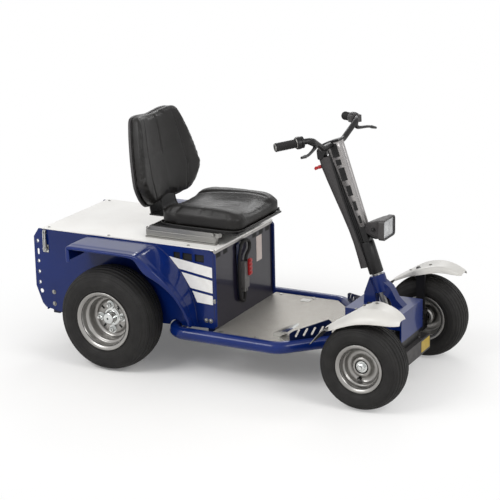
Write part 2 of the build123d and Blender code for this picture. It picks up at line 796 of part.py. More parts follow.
def make_knuckle(name, side):
    wheel = WHEELS["front"]
    low, high = 129, 209
    plate = sided(side, KINGPIN_Y + 23, KINGPIN_Y + 31)
    cheek = sided(side, KINGPIN_Y - 18, KINGPIN_Y + 31)
    with BuildPart() as knuckle:
        block((WHEELBASE - 18, WHEELBASE + 18), plate, (low, high))
        block((WHEELBASE - 18, WHEELBASE + 18), cheek, (low, BEAM_Z[0] - 1))
        block((WHEELBASE - 18, WHEELBASE + 18), cheek, (BOSS_TOP + 1, high))
        with BuildSketch(level_plane(low)):
            with Locations((WHEELBASE, side * KINGPIN_Y)):
                Circle(KINGPIN_RADIUS)
        extrude(amount=high - low)
        with BuildSketch(side_plane(side * (KINGPIN_Y + 31))):
            with Locations((WHEELBASE, wheel.radius)):
                Circle(wheel.bore)
        extrude(amount=-side * (wheel.track / 2 + wheel.bore_end - 1 - KINGPIN_Y - 31))
        block((WHEELBASE - STEER_ARM, WHEELBASE), sided(side, KINGPIN_Y - 9, KINGPIN_Y + 9), (high - 8, high))
        with BuildSketch(level_plane(high - 8)):
            with Locations((WHEELBASE - STEER_ARM, side * KINGPIN_Y)):
                Circle(9)
        extrude(amount=8)
        with BuildSketch(level_plane(ROD_Z - ROD_RADIUS)):
            with Locations((WHEELBASE - STEER_ARM, side * KINGPIN_Y)):
                Circle(ROD_PIN)
        extrude(amount=high - 8 - ROD_Z + ROD_RADIUS)
        block((WHEELBASE - 18, WHEELBASE + 18), sided(side, KINGPIN_Y - 2, KINGPIN_Y + 6), (high, 382))
    save(knuckle.part, name)


def make_fender(name, side):
    inner = KINGPIN_Y + 6
    outer = 379
    top_line = ahead(((-149, 298), (-87, 334), (-31, 380), (58, 395), (155, 363)))
    under = ahead(((130, 341), (-8, 347), (-70, 322), (-138, 284)))
    lowered = [(x, z - SHEET) for x, z in top_line]
    hollow = ahead([(-169, 282)]) + lowered + ahead(((171, 354), (171, 250), (-169, 250)))
    flap = ahead(((-130, 306), (-148, 295), (-194, 232), (-198, 234), (-153, 298)))
    outward = -side
    with BuildPart() as fender:
        with BuildSketch(side_plane(side * inner)):
            Polygon(*(top_line + under), align=None)
        extrude(amount=outward * (outer - inner))
        with BuildSketch(side_plane(side * (inner + SHEET))):
            Polygon(*hollow, align=None)
        extrude(amount=outward * (outer - inner - 2 * SHEET), mode=Mode.SUBTRACT)
        with BuildSketch(side_plane(side * (inner + 9))):
            Polygon(*flap, align=None)
        extrude(amount=outward * (outer - inner - 16))
    save(fender.part, name)


def make_tie_rod():
    line = WHEELBASE - STEER_ARM
    low = ROD_Z - 5
    with BuildPart() as rod:
        with BuildSketch(side_plane(0)):
            with Locations((line, ROD_Z)):
                Circle(ROD_RADIUS)
        extrude(amount=KINGPIN_Y, both=True)
        with BuildSketch(level_plane(low)):
            with Locations((line, KINGPIN_Y), (line, -KINGPIN_Y)):
                Circle(11)
            with Locations((PITMAN_X, 0)):
                Circle(19)
        extrude(amount=10)
        with BuildSketch(level_plane(low - 5)):
            with Locations((line, KINGPIN_Y)):
                Circle(ROD_PIN + RUNNING_GAP)
            with Locations((line, -KINGPIN_Y)):
                Circle(ROD_PIN + 1)
            with Locations((PITMAN_X, 0)):
                Circle(ROD_PIN + 4)
        extrude(amount=20, mode=Mode.SUBTRACT)
    save(rod.part, "tie_rod")


def make_wheels():
    for end, wheel in WHEELS.items():
        for name, side in SIDES:
            make_tyre(f"{end}_tyre_{name}", wheel, side)
            make_rim(f"{end}_rim_{name}", wheel, side)


def make_sided_pieces():
    for name, side in SIDES:
        make_frame_tube(f"frame_tube_{name}", side)
        make_side_panel(f"side_panel_{name}", side)
        make_mudguard(f"mudguard_{name}", side)
        make_knuckle(f"knuckle_{name}", side)
        make_fender(f"front_fender_{name}", side)


make_wheels()
make_sided_pieces()
make_belly_frame()
make_floor_plate()
make_front_panel()
make_box_tray()
make_battery_pack()
make_drive_axle()
make_tow_jaw()
make_head_frame()
make_front_skirt()
make_axle_beam()
make_slotted_guards()
make_foot_pedal()
make_battery_connector()
make_power_cable()
make_lid_latches()
make_deck_lid()
make_seat_rails()
make_seat_frame()
make_seat_cushion()
make_back_shell()
make_back_cushion()
make_steering_shaft()
make_steering_column()
make_work_lamp()
make_handlebar()
make_bar_controls()
make_tie_rod()
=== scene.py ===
import json
from math import atan2, cos, exp, hypot, pi, radians, sin

import bmesh
import bpy
from mathutils import Matrix, Vector


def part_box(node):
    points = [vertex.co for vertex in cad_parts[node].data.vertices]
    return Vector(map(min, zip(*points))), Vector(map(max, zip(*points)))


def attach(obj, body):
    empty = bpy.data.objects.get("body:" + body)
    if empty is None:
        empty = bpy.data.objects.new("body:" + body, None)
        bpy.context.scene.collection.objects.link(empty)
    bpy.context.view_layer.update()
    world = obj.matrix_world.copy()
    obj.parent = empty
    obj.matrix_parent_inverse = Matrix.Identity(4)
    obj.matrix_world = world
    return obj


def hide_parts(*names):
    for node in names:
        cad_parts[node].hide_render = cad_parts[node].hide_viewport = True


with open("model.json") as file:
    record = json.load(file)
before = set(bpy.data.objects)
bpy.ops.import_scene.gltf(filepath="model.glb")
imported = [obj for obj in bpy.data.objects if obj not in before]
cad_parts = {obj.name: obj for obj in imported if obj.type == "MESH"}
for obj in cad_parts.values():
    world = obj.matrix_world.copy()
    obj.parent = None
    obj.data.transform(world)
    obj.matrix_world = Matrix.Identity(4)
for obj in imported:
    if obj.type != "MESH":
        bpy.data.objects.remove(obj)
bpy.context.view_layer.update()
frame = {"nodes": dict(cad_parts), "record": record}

MM = 0.001
SIDES = (("right", -1), ("left", 1))


def middle(node):
    """Centre of a CAD node's box, in metres."""
    low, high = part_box(node)
    return (low + high) / 2


REAR_AXLE = middle("rear_tyre_right")
# Station of the front axle, in millimetres ahead of the rear one
FRONT_AXLE = 1074


def at(station, y, z):
    """Point in metres from millimetres: station ahead of the rear axle, width, height."""
    return Vector((REAR_AXLE.x + station * MM, y * MM, z * MM))


# Colours and the one function that adds a node


def linear(code):
    """Linear RGBA from an sRGB hex colour."""
    values = [int(code[i : i + 2], 16) / 255 for i in (1, 3, 5)]
    return [v / 12.92 if v <= 0.04045 else ((v + 0.055) / 1.055) ** 2.4 for v in values] + [1]


def add_node(tree, kind, inputs=None, settings=None, stops=()):
    """Add a node: inputs are values or sockets to link, stops the two ends of a colour ramp."""
    made = tree.nodes.new(kind)
    for name, value in (settings or {}).items():
        setattr(made, name, value)
    for name, value in (inputs or {}).items():
        if isinstance(value, bpy.types.NodeSocket):
            tree.links.new(value, made.inputs[name])
        else:
            made.inputs[name].default_value = value
    for k, (place, colour) in enumerate(stops):
        stop = made.color_ramp.elements[k]
        stop.position, stop.color = place, colour
    return made


def start_material(name, **sockets):
    """Material with its shader's plain values set on the shader's own sockets."""
    made = bpy.data.materials.new(name)
    made.use_nodes = True
    tree = made.node_tree
    shader = tree.nodes["Principled BSDF"]
    for socket, value in sockets.items():
        shader.inputs[socket.replace("_", " ")].default_value = value
    place = add_node(tree, "ShaderNodeTexCoord").outputs["Object"]
    return made, tree, shader, place


def per_mm(size):
    """Texture scale that gives a pattern of this many millimetres."""
    return 1000 / size


def mottle(tree, shader, place, pale, dark, size, spread=0.5):
    """Slow variation of the base colour between two close tones over this many millimetres."""
    cloud = add_node(
        tree, "ShaderNodeTexNoise", {"Vector": place, "Scale": per_mm(size), "Detail": 4}
    )
    low, high = 0.5 - spread / 2, 0.5 + spread / 2
    tones = [(low, linear(dark)), (high, linear(pale))]
    ramp = add_node(tree, "ShaderNodeValToRGB", {"Fac": cloud.outputs["Fac"]}, stops=tones)
    tree.links.new(ramp.outputs["Color"], shader.inputs["Base Color"])
    return ramp


def vary_roughness(tree, shader, place, low, high, size):
    """Patches of smoother and rougher surface, as handling and dust leave."""
    cloud = add_node(
        tree, "ShaderNodeTexNoise", {"Vector": place, "Scale": per_mm(size), "Detail": 5}
    )
    span = {
        "Value": cloud.outputs["Fac"], "From Min": 0.3, "From Max": 0.7, "To Min": low,
        "To Max": high
    }
    patches = add_node(tree, "ShaderNodeMapRange", span)
    tree.links.new(patches.outputs["Result"], shader.inputs["Roughness"])


def raise_surface(tree, shader, height, depth_mm, strength=1.0):
    """Bump of a real depth from a height socket."""
    values = {"Height": height, "Distance": depth_mm * MM, "Strength": strength}
    bump = add_node(tree, "ShaderNodeBump", values)
    tree.links.new(bump.outputs["Normal"], shader.inputs["Normal"])
    return bump


def grain(tree, shader, place, size, depth_mm, strength=1.0):
    fine = add_node(
        tree, "ShaderNodeTexNoise", {"Vector": place, "Scale": per_mm(size), "Detail": 3}
    )
    return raise_surface(tree, shader, fine.outputs["Fac"], depth_mm, strength)


# Materials, each named for what the real one is


def gloss_enamel(name, pale, dark):
    """Sprayed gloss enamel: deep colour under a hard clear skin with a faint orange peel."""
    made, tree, shader, place = start_material(
        name, Roughness=0.3, IOR=1.25, Coat_Weight=0.45, Coat_Roughness=0.04, Coat_IOR=1.4
    )
    mottle(tree, shader, place, pale, dark, 260)
    grain(tree, shader, place, 5, 0.05, 0.5)
    return made


def powder_coat(name, pale, dark, roughness=0.45):
    """Powder coat: baked matt skin with a fine pebble that softens every reflection."""
    made, tree, shader, place = start_material(name, IOR=1.38)
    mottle(tree, shader, place, pale, dark, 180)
    vary_roughness(tree, shader, place, roughness - 0.06, roughness + 0.08, 60)
    grain(tree, shader, place, 2.5, 0.06)
    return made


def moulded_plastic(name, pale, dark, roughness=0.5, pebble=1.2):
    """Injection-moulded plastic: spark-eroded pebble texture and a soft sheen on edges."""
    made, tree, shader, place = start_material(name, IOR=1.46)
    mottle(tree, shader, place, pale, dark, 90)
    vary_roughness(tree, shader, place, roughness - 0.05, roughness + 0.1, 40)
    cells = add_node(tree, "ShaderNodeTexVoronoi", {"Vector": place, "Scale": per_mm(pebble)})
    raise_surface(tree, shader, cells.outputs["Distance"], 0.08, 0.6)
    return made


def plated_metal(name, colour, roughness, spot=30):
    """Plated steel: mirror-like metal whose smears and fine scratches break the shine."""
    made, tree, shader, place = start_material(name, Metallic=1.0, Base_Color=linear(colour))
    vary_roughness(tree, shader, place, roughness, roughness + 0.12, spot)
    grain(tree, shader, place, 1.5, 0.02)
    return made


def brushed_metal(name, pale, dark, along):
    """Drawn or brushed aluminium: hair lines along one direction, pale and satin."""
    made, tree, shader, place = start_material(name, Metallic=0.6)
    stretch = {"Vector": place, "Scale": along}
    lines = add_node(tree, "ShaderNodeMapping", stretch)
    hair = {"Vector": lines.outputs["Vector"], "Scale": per_mm(1.5), "Detail": 2}
    hairs = add_node(tree, "ShaderNodeTexNoise", hair)
    tones = [(0.35, linear(dark)), (0.65, linear(pale))]
    ramp = add_node(tree, "ShaderNodeValToRGB", {"Fac": hairs.outputs["Fac"]}, stops=tones)
    tree.links.new(ramp.outputs["Color"], shader.inputs["Base Color"])
    vary_roughness(tree, shader, place, 0.26, 0.4, 50)
    raise_surface(tree, shader, hairs.outputs["Fac"], 0.03, 0.5)
    return made


def lacquered_steel(name):
    """Wheel steel in silver lacquer: metal flake under clear coat, so wide soft highlights."""
    made, tree, shader, place = start_material(
        name, Metallic=0.85, Coat_Weight=0.5, Coat_Roughness=0.12
    )
    mottle(tree, shader, place, "#9f9d9a", "#8b8986", 120)
    vary_roughness(tree, shader, place, 0.28, 0.4, 45)
    flake = {"Vector": place, "Scale": per_mm(0.9)}
    cells = add_node(tree, "ShaderNodeTexVoronoi", flake)
    raise_surface(tree, shader, cells.outputs["Distance"], 0.03, 0.4)
    return made


def chequer_plate(name):
    """Rolled aluminium tread plate: small raised bars in two leaning rows, painted pale, with
    painted shade on the low ground between them.
    """
    made, tree, shader, place = start_material(name, Metallic=0.75)
    vary_roughness(tree, shader, place, 0.34, 0.5, 30)
    heights = []
    for lean in (pi / 4, -pi / 4):
        turned = add_node(tree, "ShaderNodeMapping", {"Vector": place, "Rotation": (0, 0, lean)})
        bands = {"Vector": turned.outputs["Vector"], "Scale": per_mm(13)}
        wave = add_node(
            tree, "ShaderNodeTexWave", bands, {"wave_profile": "SIN", "bands_direction": "X"}
        )
        heights.append(wave.outputs["Fac"])
    both = {0: heights[0], 1: heights[1]}
    crossed = add_node(tree, "ShaderNodeMath", both, {"operation": "MULTIPLY"})
    edge = {"Value": crossed.outputs["Value"], "From Min": 0.35, "From Max": 0.6}
    bars = add_node(tree, "ShaderNodeMapRange", edge)
    # Painted shade: the low ground between the bars is dark, the raised bars pale
    tones = [(0.0, linear("#6f6b65")), (1.0, linear("#e8e4dc"))]
    ramp = add_node(tree, "ShaderNodeValToRGB", {"Fac": bars.outputs["Result"]}, stops=tones)
    tree.links.new(ramp.outputs["Color"], shader.inputs["Base Color"])
    raise_surface(tree, shader, bars.outputs["Result"], 0.9)
    return made


def upholstery_vinyl(name):
    """Black upholstery vinyl: pressed leather grain with a soft plasticised sheen."""
    made, tree, shader, place = start_material(name, IOR=1.36)
    mottle(tree, shader, place, "#1a1817", "#131211", 70)
    vary_roughness(tree, shader, place, 0.36, 0.5, 90)
    cells = {"Vector": place, "Scale": per_mm(2.2), "Randomness": 0.9}
    pores = add_node(tree, "ShaderNodeTexVoronoi", cells, {"feature": "DISTANCE_TO_EDGE"})
    edge = {"Value": pores.outputs["Distance"], "From Min": 0.0, "From Max": 0.2}
    creases = add_node(tree, "ShaderNodeMapRange", edge)
    raise_surface(tree, shader, creases.outputs["Result"], 0.12, 0.7)
    return made


def vulcanised_rubber(name, pale="#232221", dark="#1b1a1a", dust="#3a3735"):
    """Tyre rubber: carbon black with a bloom of dust in scattered patches."""
    made, tree, shader, place = start_material(name, IOR=1.4, Specular_IOR_Level=0.35)
    ramp = mottle(tree, shader, place, pale, dark, 55)
    ramp.color_ramp.elements.new(0.98).color = linear(dust)
    vary_roughness(tree, shader, place, 0.55, 0.75, 35)
    grain(tree, shader, place, 1.6, 0.08)
    return made


def printed_label(name, pale, dark):
    """Blank vinyl label: flat ink under a satin film, slightly rubbed."""
    made, tree, shader, place = start_material(name, IOR=1.45)
    mottle(tree, shader, place, pale, dark, 25)
    vary_roughness(tree, shader, place, 0.35, 0.5, 20)
    grain(tree, shader, place, 3, 0.02)
    return made


def lamp_glass(name):
    """Fluted lamp glass over a bright reflector: pale, with upright ribs that catch the light."""
    made, tree, shader, place = start_material(
        name, Roughness=0.12, IOR=1.52, Coat_Weight=1.0, Coat_Roughness=0.03
    )
    mottle(tree, shader, place, "#c9cbcc", "#9b9da0", 30)
    ribs = {"Vector": place, "Scale": per_mm(11)}
    wave = add_node(tree, "ShaderNodeTexWave", ribs, {"bands_direction": "Y"})
    raise_surface(tree, shader, wave.outputs["Fac"], 0.8)
    return made


MATERIALS = {
    "blue_paint": gloss_enamel("gloss_enamel_navy", "#082468", "#051a50"),
    "dark_blue_paint": gloss_enamel("gloss_enamel_midnight", "#061336", "#040d27"),
    # Painted shade and reflection: this dark slate is how the front panel's paint looks in shade,
    # with a grey reflection in it
    "grey_paint": gloss_enamel("gloss_enamel_slate_in_painted_shade", "#25222f", "#1b1926"),
    "white_paint": powder_coat("powder_coat_white", "#f0efec", "#e6e4e0", 0.38),
    "white_plastic": moulded_plastic("moulded_abs_pearl", "#d8d6d1", "#cbc9c4", 0.32, 2.0),
    "black_paint": powder_coat("powder_coat_black", "#161516", "#0f0f10", 0.36),
    "dark_grey_plastic": moulded_plastic("moulded_abs_charcoal", "#3a3838", "#302e2f"),
    "grey_plastic": moulded_plastic("moulded_abs_grey", "#6e6c6b", "#62605f"),
    "tyre_rubber": vulcanised_rubber("vulcanised_tyre_rubber"),
    "silver_paint": lacquered_steel("lacquered_wheel_steel"),
    "chequer_aluminium": chequer_plate("rolled_tread_plate"),
    "bright_steel": plated_metal("zinc_plated_steel", "#93928f", 0.3),
    "chrome": plated_metal("chrome_plated_steel", "#cfd1d0", 0.08),
    "black_vinyl": upholstery_vinyl("upholstery_vinyl"),
    "black_rubber": vulcanised_rubber("moulded_grip_rubber", "#252424", "#1c1b1b", "#2f2d2c"),
}
EXTRA = {
    "anodised": brushed_metal("anodised_aluminium", "#b5b2b0", "#a09d9b", (40, 1, 1)),
    "strip": brushed_metal("satin_aluminium_strip", "#a5a2a1", "#918e8d", (1, 1, 40)),
    "red": moulded_plastic("moulded_nylon_red", "#b3161a", "#9a1013", 0.35),
    "stripe": printed_label("cast_vinyl_stripe", "#ecebe8", "#dedcd8"),
    "pink": printed_label("paper_label_pale", "#d6c8c2", "#cbbcb6"),
    "yellow": printed_label("paper_label_yellow", "#b69a33", "#a58b2c"),
    # Painted shade: near-black for the shade inside slots, windows and vents
    "slot": moulded_plastic("shadowed_plastic", "#0c0c0d", "#080808", 0.7),
    "lens": lamp_glass("fluted_lamp_glass"),
}

# Mesh helpers


def finish_piece(name, mesh, material, body, slot, sharp=35, bevel=0.0, solid=0.0):
    """Object of a mesh that rides on a body, smooth but for its sharp edges."""
    made = bpy.data.objects.new(name, mesh)
    bpy.context.scene.collection.objects.link(made)
    mesh.materials.clear()
    mesh.materials.append(material)
    for face in mesh.polygons:
        face.use_smooth = True
    mesh.set_sharp_from_angle(angle=radians(sharp))
    if solid:
        wall = made.modifiers.new("wall", "SOLIDIFY")
        wall.thickness = solid
        wall.offset = -1
    if bevel:
        soft = made.modifiers.new("soft_edges", "BEVEL")
        soft.width = bevel
        soft.segments = 2
        soft.limit_method = "ANGLE"
        soft.angle_limit = radians(35)
        soft.harden_normals = False
    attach(made, body)
    return made


def mesh_of(bm, name):
    bmesh.ops.recalc_face_normals(bm, faces=bm.faces)
    mesh = bpy.data.meshes.new(name)
    bm.to_mesh(mesh)
    bm.free()
    return mesh


def grid_faces(bm, rows, wrap_rows=False, wrap_columns=False):
    """Faces between rows of points; each row is a list of vectors of one length."""
    made = [[bm.verts.new(p) for p in row] for row in rows]
    count, width = len(made), len(made[0])
    for i in range(count if wrap_rows else count - 1):
        for j in range(width if wrap_columns else width - 1):
            k, m = (i + 1) % count, (j + 1) % width
            bm.faces.new((made[i][j], made[k][j], made[k][m], made[i][m]))
    return made


def capped(bm, rows):
    """Solid over rings of points, with a flat end on each side."""
    made = grid_faces(bm, rows, wrap_columns=True)
    bm.faces.new(made[0])
    bm.faces.new(made[-1][::-1])


def fan(bm, ring, centre):
    """Close a ring of vertices with a fan about a centre."""
    hub = bm.verts.new(centre)
    for i, first in enumerate(ring):
        bm.faces.new((first, ring[(i + 1) % len(ring)], hub))


def turned(bm, profile, centre, outward, segments=64, closed=False, ripple=None):
    """Solid turned about the Y direction; profile holds (distance outward, radius) in mm."""
    rows = []
    for k in range(segments):
        angle = 2 * pi * k / segments
        row = []
        for along, radius in profile:
            if ripple:
                radius += ripple(along, radius, angle)
            x, z = radius * cos(angle) * MM, radius * sin(angle) * MM
            row.append(centre + Vector((x, outward * along * MM, z)))
        rows.append(row)
    grid_faces(bm, rows, wrap_rows=True, wrap_columns=closed)


def frame_along(points, closed=False):
    """Side directions at each point of a path, carried along without twist."""
    count = len(points)
    tangents = []
    for i in range(count):
        before = points[(i - 1) % count if closed else max(i - 1, 0)]
        after = points[(i + 1) % count if closed else min(i + 1, count - 1)]
        tangents.append((after - before).normalized())
    start = Vector((0, 0, 1)) if abs(tangents[0].z) < 0.9 else Vector((1, 0, 0))
    side = tangents[0].cross(start).normalized()
    sides = [side]
    for i in range(1, count):
        turn = tangents[i - 1].rotation_difference(tangents[i])
        side = turn @ side
        sides.append(side)
    return tangents, sides


def rounded_path(points, radius, steps=6):
    """Path through corner points whose corners are rounded by this many metres."""
    made = [points[0]]
    for before, corner, after in zip(points, points[1:], points[2:]):
        back, ahead = before - corner, after - corner
        reach = min(radius, back.length * 0.45, ahead.length * 0.45)
        start, end = corner + back.normalized() * reach, corner + ahead.normalized() * reach
        for k in range(steps + 1):
            t = k / steps
            made.append(start * (1 - t) ** 2 + corner * (2 * t * (1 - t)) + end * t**2)
    made.append(points[-1])
    return made


def pipe(bm, points, radius, segments=16, taper=None):
    """Round bar along a path, in metres; taper gives each point's share of the radius."""
    tangents, sides = frame_along(points)
    rows = []
    for i, point in enumerate(points):
        across = tangents[i].cross(sides[i])
        size = radius * (taper[i] if taper else 1)
        ring = []
        for k in range(segments):
            angle = 2 * pi * k / segments
            ring.append(point + (sides[i] * cos(angle) + across * sin(angle)) * size)
        rows.append(ring)
    made = grid_faces(bm, rows, wrap_columns=True)
    fan(bm, made[0], points[0])
    fan(bm, made[-1], points[-1])


def prism(bm, outline, shift):
    """Solid between an outline of points and the same outline moved by a vector."""
    low = [bm.verts.new(p) for p in outline]
    high = [bm.verts.new(p + shift) for p in outline]
    bm.faces.new(low[::-1])
    bm.faces.new(high)
    for i, first in enumerate(low):
        k = (i + 1) % len(low)
        bm.faces.new((first, low[k], high[k], high[i]))


def bolt_head(bm, centre, normal, radius, height, sides=6, dome=0.35):
    """Hexagon or round head with a domed top on a flat washer."""
    normal = normal.normalized()
    start = Vector((0, 0, 1)) if abs(normal.z) < 0.9 else Vector((1, 0, 0))
    across = normal.cross(start).normalized()
    other = normal.cross(across)
    washer = ((1.45, 0), (1.45, 0.18), (1.02, 0.18))
    head = ((1.0, 0.18), (1.0, 0.85), (0.8, 1.0), (dome, 1.08))
    rows = []
    for share, rise in washer + head:
        ring = []
        for k in range(sides * 2):
            angle = pi * k / sides
            corner = 1.0 if share > 1 or sides > 8 or k % 2 == 0 else cos(pi / sides)
            reach = radius * share * corner
            ring.append(
                centre + (across * cos(angle) + other * sin(angle)) * reach + normal * height * rise
            )
        rows.append(ring)
    made = grid_faces(bm, rows, wrap_columns=True)
    fan(bm, made[0], centre)
    fan(bm, made[-1], centre + normal * height * 1.1)


def build(name, maker, body, slot, material=None, upward=False, **options):
    """Piece made by a function that fills an empty mesh; its slot gives the usual material."""
    bm = bmesh.new()
    maker(bm)
    mesh = mesh_of(bm, name)
    if upward and max(mesh.polygons, key=lambda face: face.center.z).normal.z < 0:
        mesh.flip_normals()
    return finish_piece(name, mesh, material or MATERIALS[slot], body, slot, **options)


def round_pressing(made, name):
    """Finer sheet, so that its bends are round."""
    finer = made.modifiers.new(name, "SUBSURF")
    finer.levels = finer.render_levels = 2


# Tyres: rib tread with round grooves, and rings moulded on the walls


def bell(x):
    return exp(-(x**2))


def arc_points(start, through, end, count):
    """Points on the circle arc through three points of a plane."""
    (ax, ay), (bx, by), (cx, cy) = start, through, end
    scale = 2 * (ax * (by - cy) + bx * (cy - ay) + cx * (ay - by))
    aa, bb, cc = ax * ax + ay * ay, bx * bx + by * by, cx * cx + cy * cy
    ux = (aa * (by - cy) + bb * (cy - ay) + cc * (ay - by)) / scale
    uy = (aa * (cx - bx) + bb * (ax - cx) + cc * (bx - ax)) / scale
    radius = hypot(ax - ux, ay - uy)
    low, middle_angle, high = (atan2(y - uy, x - ux) for x, y in (start, through, end))
    sweep = (high - low) % (2 * pi)
    if (middle_angle - low) % (2 * pi) > sweep:
        sweep -= 2 * pi
    made = []
    for k in range(count + 1):
        angle = low + sweep * k / count
        made.append((ux + radius * cos(angle), uy + radius * sin(angle), cos(angle), sin(angle)))
    return made


# Rings on the wall: share of the way from rim to shoulder, height in mm, half width as a share
WALL_RINGS = (
    (0.05, 1.6, 0.022),
    (0.13, -0.9, 0.018),
    (0.30, 0.9, 0.014),
    (0.36, 0.9, 0.014),
    (0.62, 0.8, 0.016),
    (0.78, -1.2, 0.016),
    (0.87, 1.0, 0.018),
    (0.95, -1.4, 0.016),
)


def wall_height(share):
    return sum(height * bell((share - place) / width) for place, height, width in WALL_RINGS)


# Wheel sizes in millimetres, as the frame has them; grooves are widths from the middle of the tread
TYRES = {
    "front": {
        "rim": 95, "bead": 76.2, "flange": 93, "width": 126, "radius": 165, "grooves": (8, 25, 40)
    },
    "rear": {
        "rim": 130, "bead": 101.6, "flange": 119, "width": 150, "radius": 207,
        "grooves": (10, 30, 48)
    },
}


def tyre_profile(size):
    """Closed section of a tyre: (distance outward, radius)."""
    half_rim, wall, tread = size["rim"] / 2, size["width"] / 2, size["width"] * 0.4
    shoulder, waist = size["radius"] - 11, (size["flange"] + size["radius"]) / 2 - 2
    side = []
    for k, (x, y, nx, ny) in enumerate(
        arc_points((half_rim, size["flange"]), (wall, waist), (tread, shoulder), 72)
    ):
        lift = min(wall_height(k / 72), 1.6)
        side.append((x + nx * lift, y + ny * lift))
    crown = []
    across = arc_points((tread, shoulder), (0, size["radius"]), (-tread, shoulder), 60)
    for x, y, nx, ny in across[1:-1]:
        crown.append((x, y))
    for groove in size["grooves"]:
        for sign in (-1, 1):
            mid = sign * groove
            level = min(crown, key=lambda p: abs(p[0] - mid))[1]
            crown = [p for p in crown if abs(p[0] - mid) > 3.2]
            cut = [
                (mid + 2.6, level), (mid + 1.6, level - 5), (mid - 1.6, level - 5),
                (mid - 2.6, level)
            ]
            crown += cut
    crown.sort(key=lambda p: -p[0])
    other = [(-x, y) for x, y in reversed(side)]
    return [(half_rim, size["bead"])] + side + crown + other + [(-half_rim, size["bead"])]


def dress_tyre(end, name, outward):
    node = f"{end}_tyre_{name}"
    size = TYRES[end]
    centre = middle(node)

    def turn(bm):
        turned(bm, tyre_profile(size), centre, outward, 120, closed=True)

    tyre = build(f"{node}_treaded", turn, f"{end}_wheel_{name}", "tyre_rubber")
    tyre.data.set_sharp_from_angle(angle=radians(50))
    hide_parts(node)


# Rims: pressed steel dishes, sections as (distance outward, radius)
RIM_SECTIONS = {
    "rear": (
        (65.0, 101.5), (65.5, 114.5), (67.5, 118.0), (70.5, 118.6), (72.0, 116.2), (71.2, 112.0),
        (68.0, 106.0), (63.0, 101.5), (57.0, 98.8), (42.0, 98.0), (38.5, 95.5), (36.0, 88.5),
        (31.0, 86.0), (3.0, 84.5), (-2.0, 81.5), (-5.0, 75.0), (-5.0, 70.0), (-1.0, 66.0),
        (2.5, 62.0), (2.5, 44.0), (0.0, 40.0), (0.0, 24.0), (-5.0, 24.0), (-5.0, 62.0),
        (-10.0, 68.0), (-11.0, 80.0), (-8.0, 88.0), (-4.0, 96.0), (-50.0, 97.0), (-63.0, 100.0),
        (-71.0, 110.0), (-71.5, 117.0), (-67.0, 118.0), (-65.0, 114.0), (-65.0, 101.5),
    ),
    "front": (
        (47.5, 76.0), (48.0, 88.5), (50.0, 92.0), (53.0, 92.8), (54.6, 90.4), (54.0, 86.4),
        (51.0, 80.4), (46.0, 76.4), (40.0, 74.2), (31.0, 73.2), (27.5, 70.6), (24.0, 66.8),
        (17.0, 65.2), (9.0, 62.6), (5.0, 56.4), (4.4, 49.4), (7.0, 43.4), (13.0, 39.4),
        (21.0, 37.4), (24.0, 34.4), (25.6, 29.6), (24.6, 26.4), (21.0, 25.4), (12.0, 25.2),
        (6.0, 24.4), (2.0, 36.4), (-1.0, 44.4), (-2.0, 58.4), (3.0, 68.6), (-20.0, 71.4),
        (-44.0, 74.4), (-52.0, 83.4), (-53.0, 91.4), (-48.5, 92.0), (-47.5, 88.4), (-47.5, 76.0),
    ),
}


def smooth_loop(points, rounds=2):
    """Closed section with its corners cut twice, so pressed bends look drawn rather than folded."""
    for _ in range(rounds):
        made = []
        for here, after in zip(points, points[1:] + points[:1]):
            for share in (0.25, 0.75):
                made.append(tuple(a + (b - a) * share for a, b in zip(here, after)))
        points = made
    return points


def wheel_point(centre, outward, along, radius, angle):
    return centre + Vector((radius * cos(angle), outward * along, radius * sin(angle))) * MM


def dress_rim(end, name, outward):
    node = f"{end}_rim_{name}"
    body = f"{end}_wheel_{name}"
    centre = middle(f"{end}_tyre_{name}")
    section = smooth_loop(list(RIM_SECTIONS[end]))

    def turn(bm):
        turned(bm, section, centre, outward, 96, closed=True)

    rim = build(f"{node}_pressed", turn, body, "silver_paint", sharp=60)
    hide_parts(node)

    valve_radius, valve_base = (78, 2) if end == "rear" else (54, 4)
    valve_angle = radians(50 if end == "rear" else -105)

    def stem(bm):
        start = wheel_point(centre, outward, valve_base, valve_radius, valve_angle)
        top = wheel_point(centre, outward, valve_base + 24, valve_radius - 8, valve_angle)
        steps = [start.lerp(top, k / 8) for k in range(9)]
        pipe(bm, steps, 5.5 * MM, 14, (1.3, 1.2, 1, 0.95, 0.9, 0.85, 0.62, 0.78, 0.78))

    build(f"{node}_valve", stem, body, "black_rubber")


def dress_rear_hub(name, outward):
    body = f"rear_wheel_{name}"
    centre = middle(f"rear_tyre_{name}")
    flange = [
        (-24, 0.5), (-24, 36), (2.5, 36.5), (4, 34), (4, 27), (6, 24.5), (30, 24), (34, 21.5),
        (36, 16)
    ]
    flange += [(36.5, 0.5)]

    def hub(bm):
        turned(bm, smooth_loop(flange, 1), centre, outward, 56, closed=True)

    build(f"rear_hub_{name}", hub, body, "chrome", sharp=40)

    def nuts(bm):
        normal = Vector((0, outward, 0))
        for k in range(4):
            angle = radians(4 + 90 * k)
            seat = wheel_point(centre, outward, 2.6, 50, angle)
            bolt_head(bm, seat, normal, 11.5 * MM, 17 * MM)
            stud = [wheel_point(centre, outward, 17 + 3 * j, 50, angle) for j in range(4)]
            pipe(bm, stud, 6 * MM, 14, (1, 1, 1, 0.8))

    build(f"rear_lug_nuts_{name}", nuts, body, "chrome", sharp=30)

    def windows(bm):
        for k in range(4):
            angle = radians(49 + 90 * k)
            across = Vector((-sin(angle), 0, cos(angle))) * 4 * MM
            corners = [wheel_point(centre, outward, 2.9, r, angle) for r in (44, 60)]
            ring = [
                corners[0] - across, corners[1] - across, corners[1] + across, corners[0] + across
            ]
            prism(bm, ring, Vector((0, outward * 0.4 * MM, 0)))

    # Painted shade: the disc's slots are thin near-black plates standing for the shade inside them
    build(f"rear_disc_slots_{name}", windows, body, "black_paint", EXTRA["slot"])


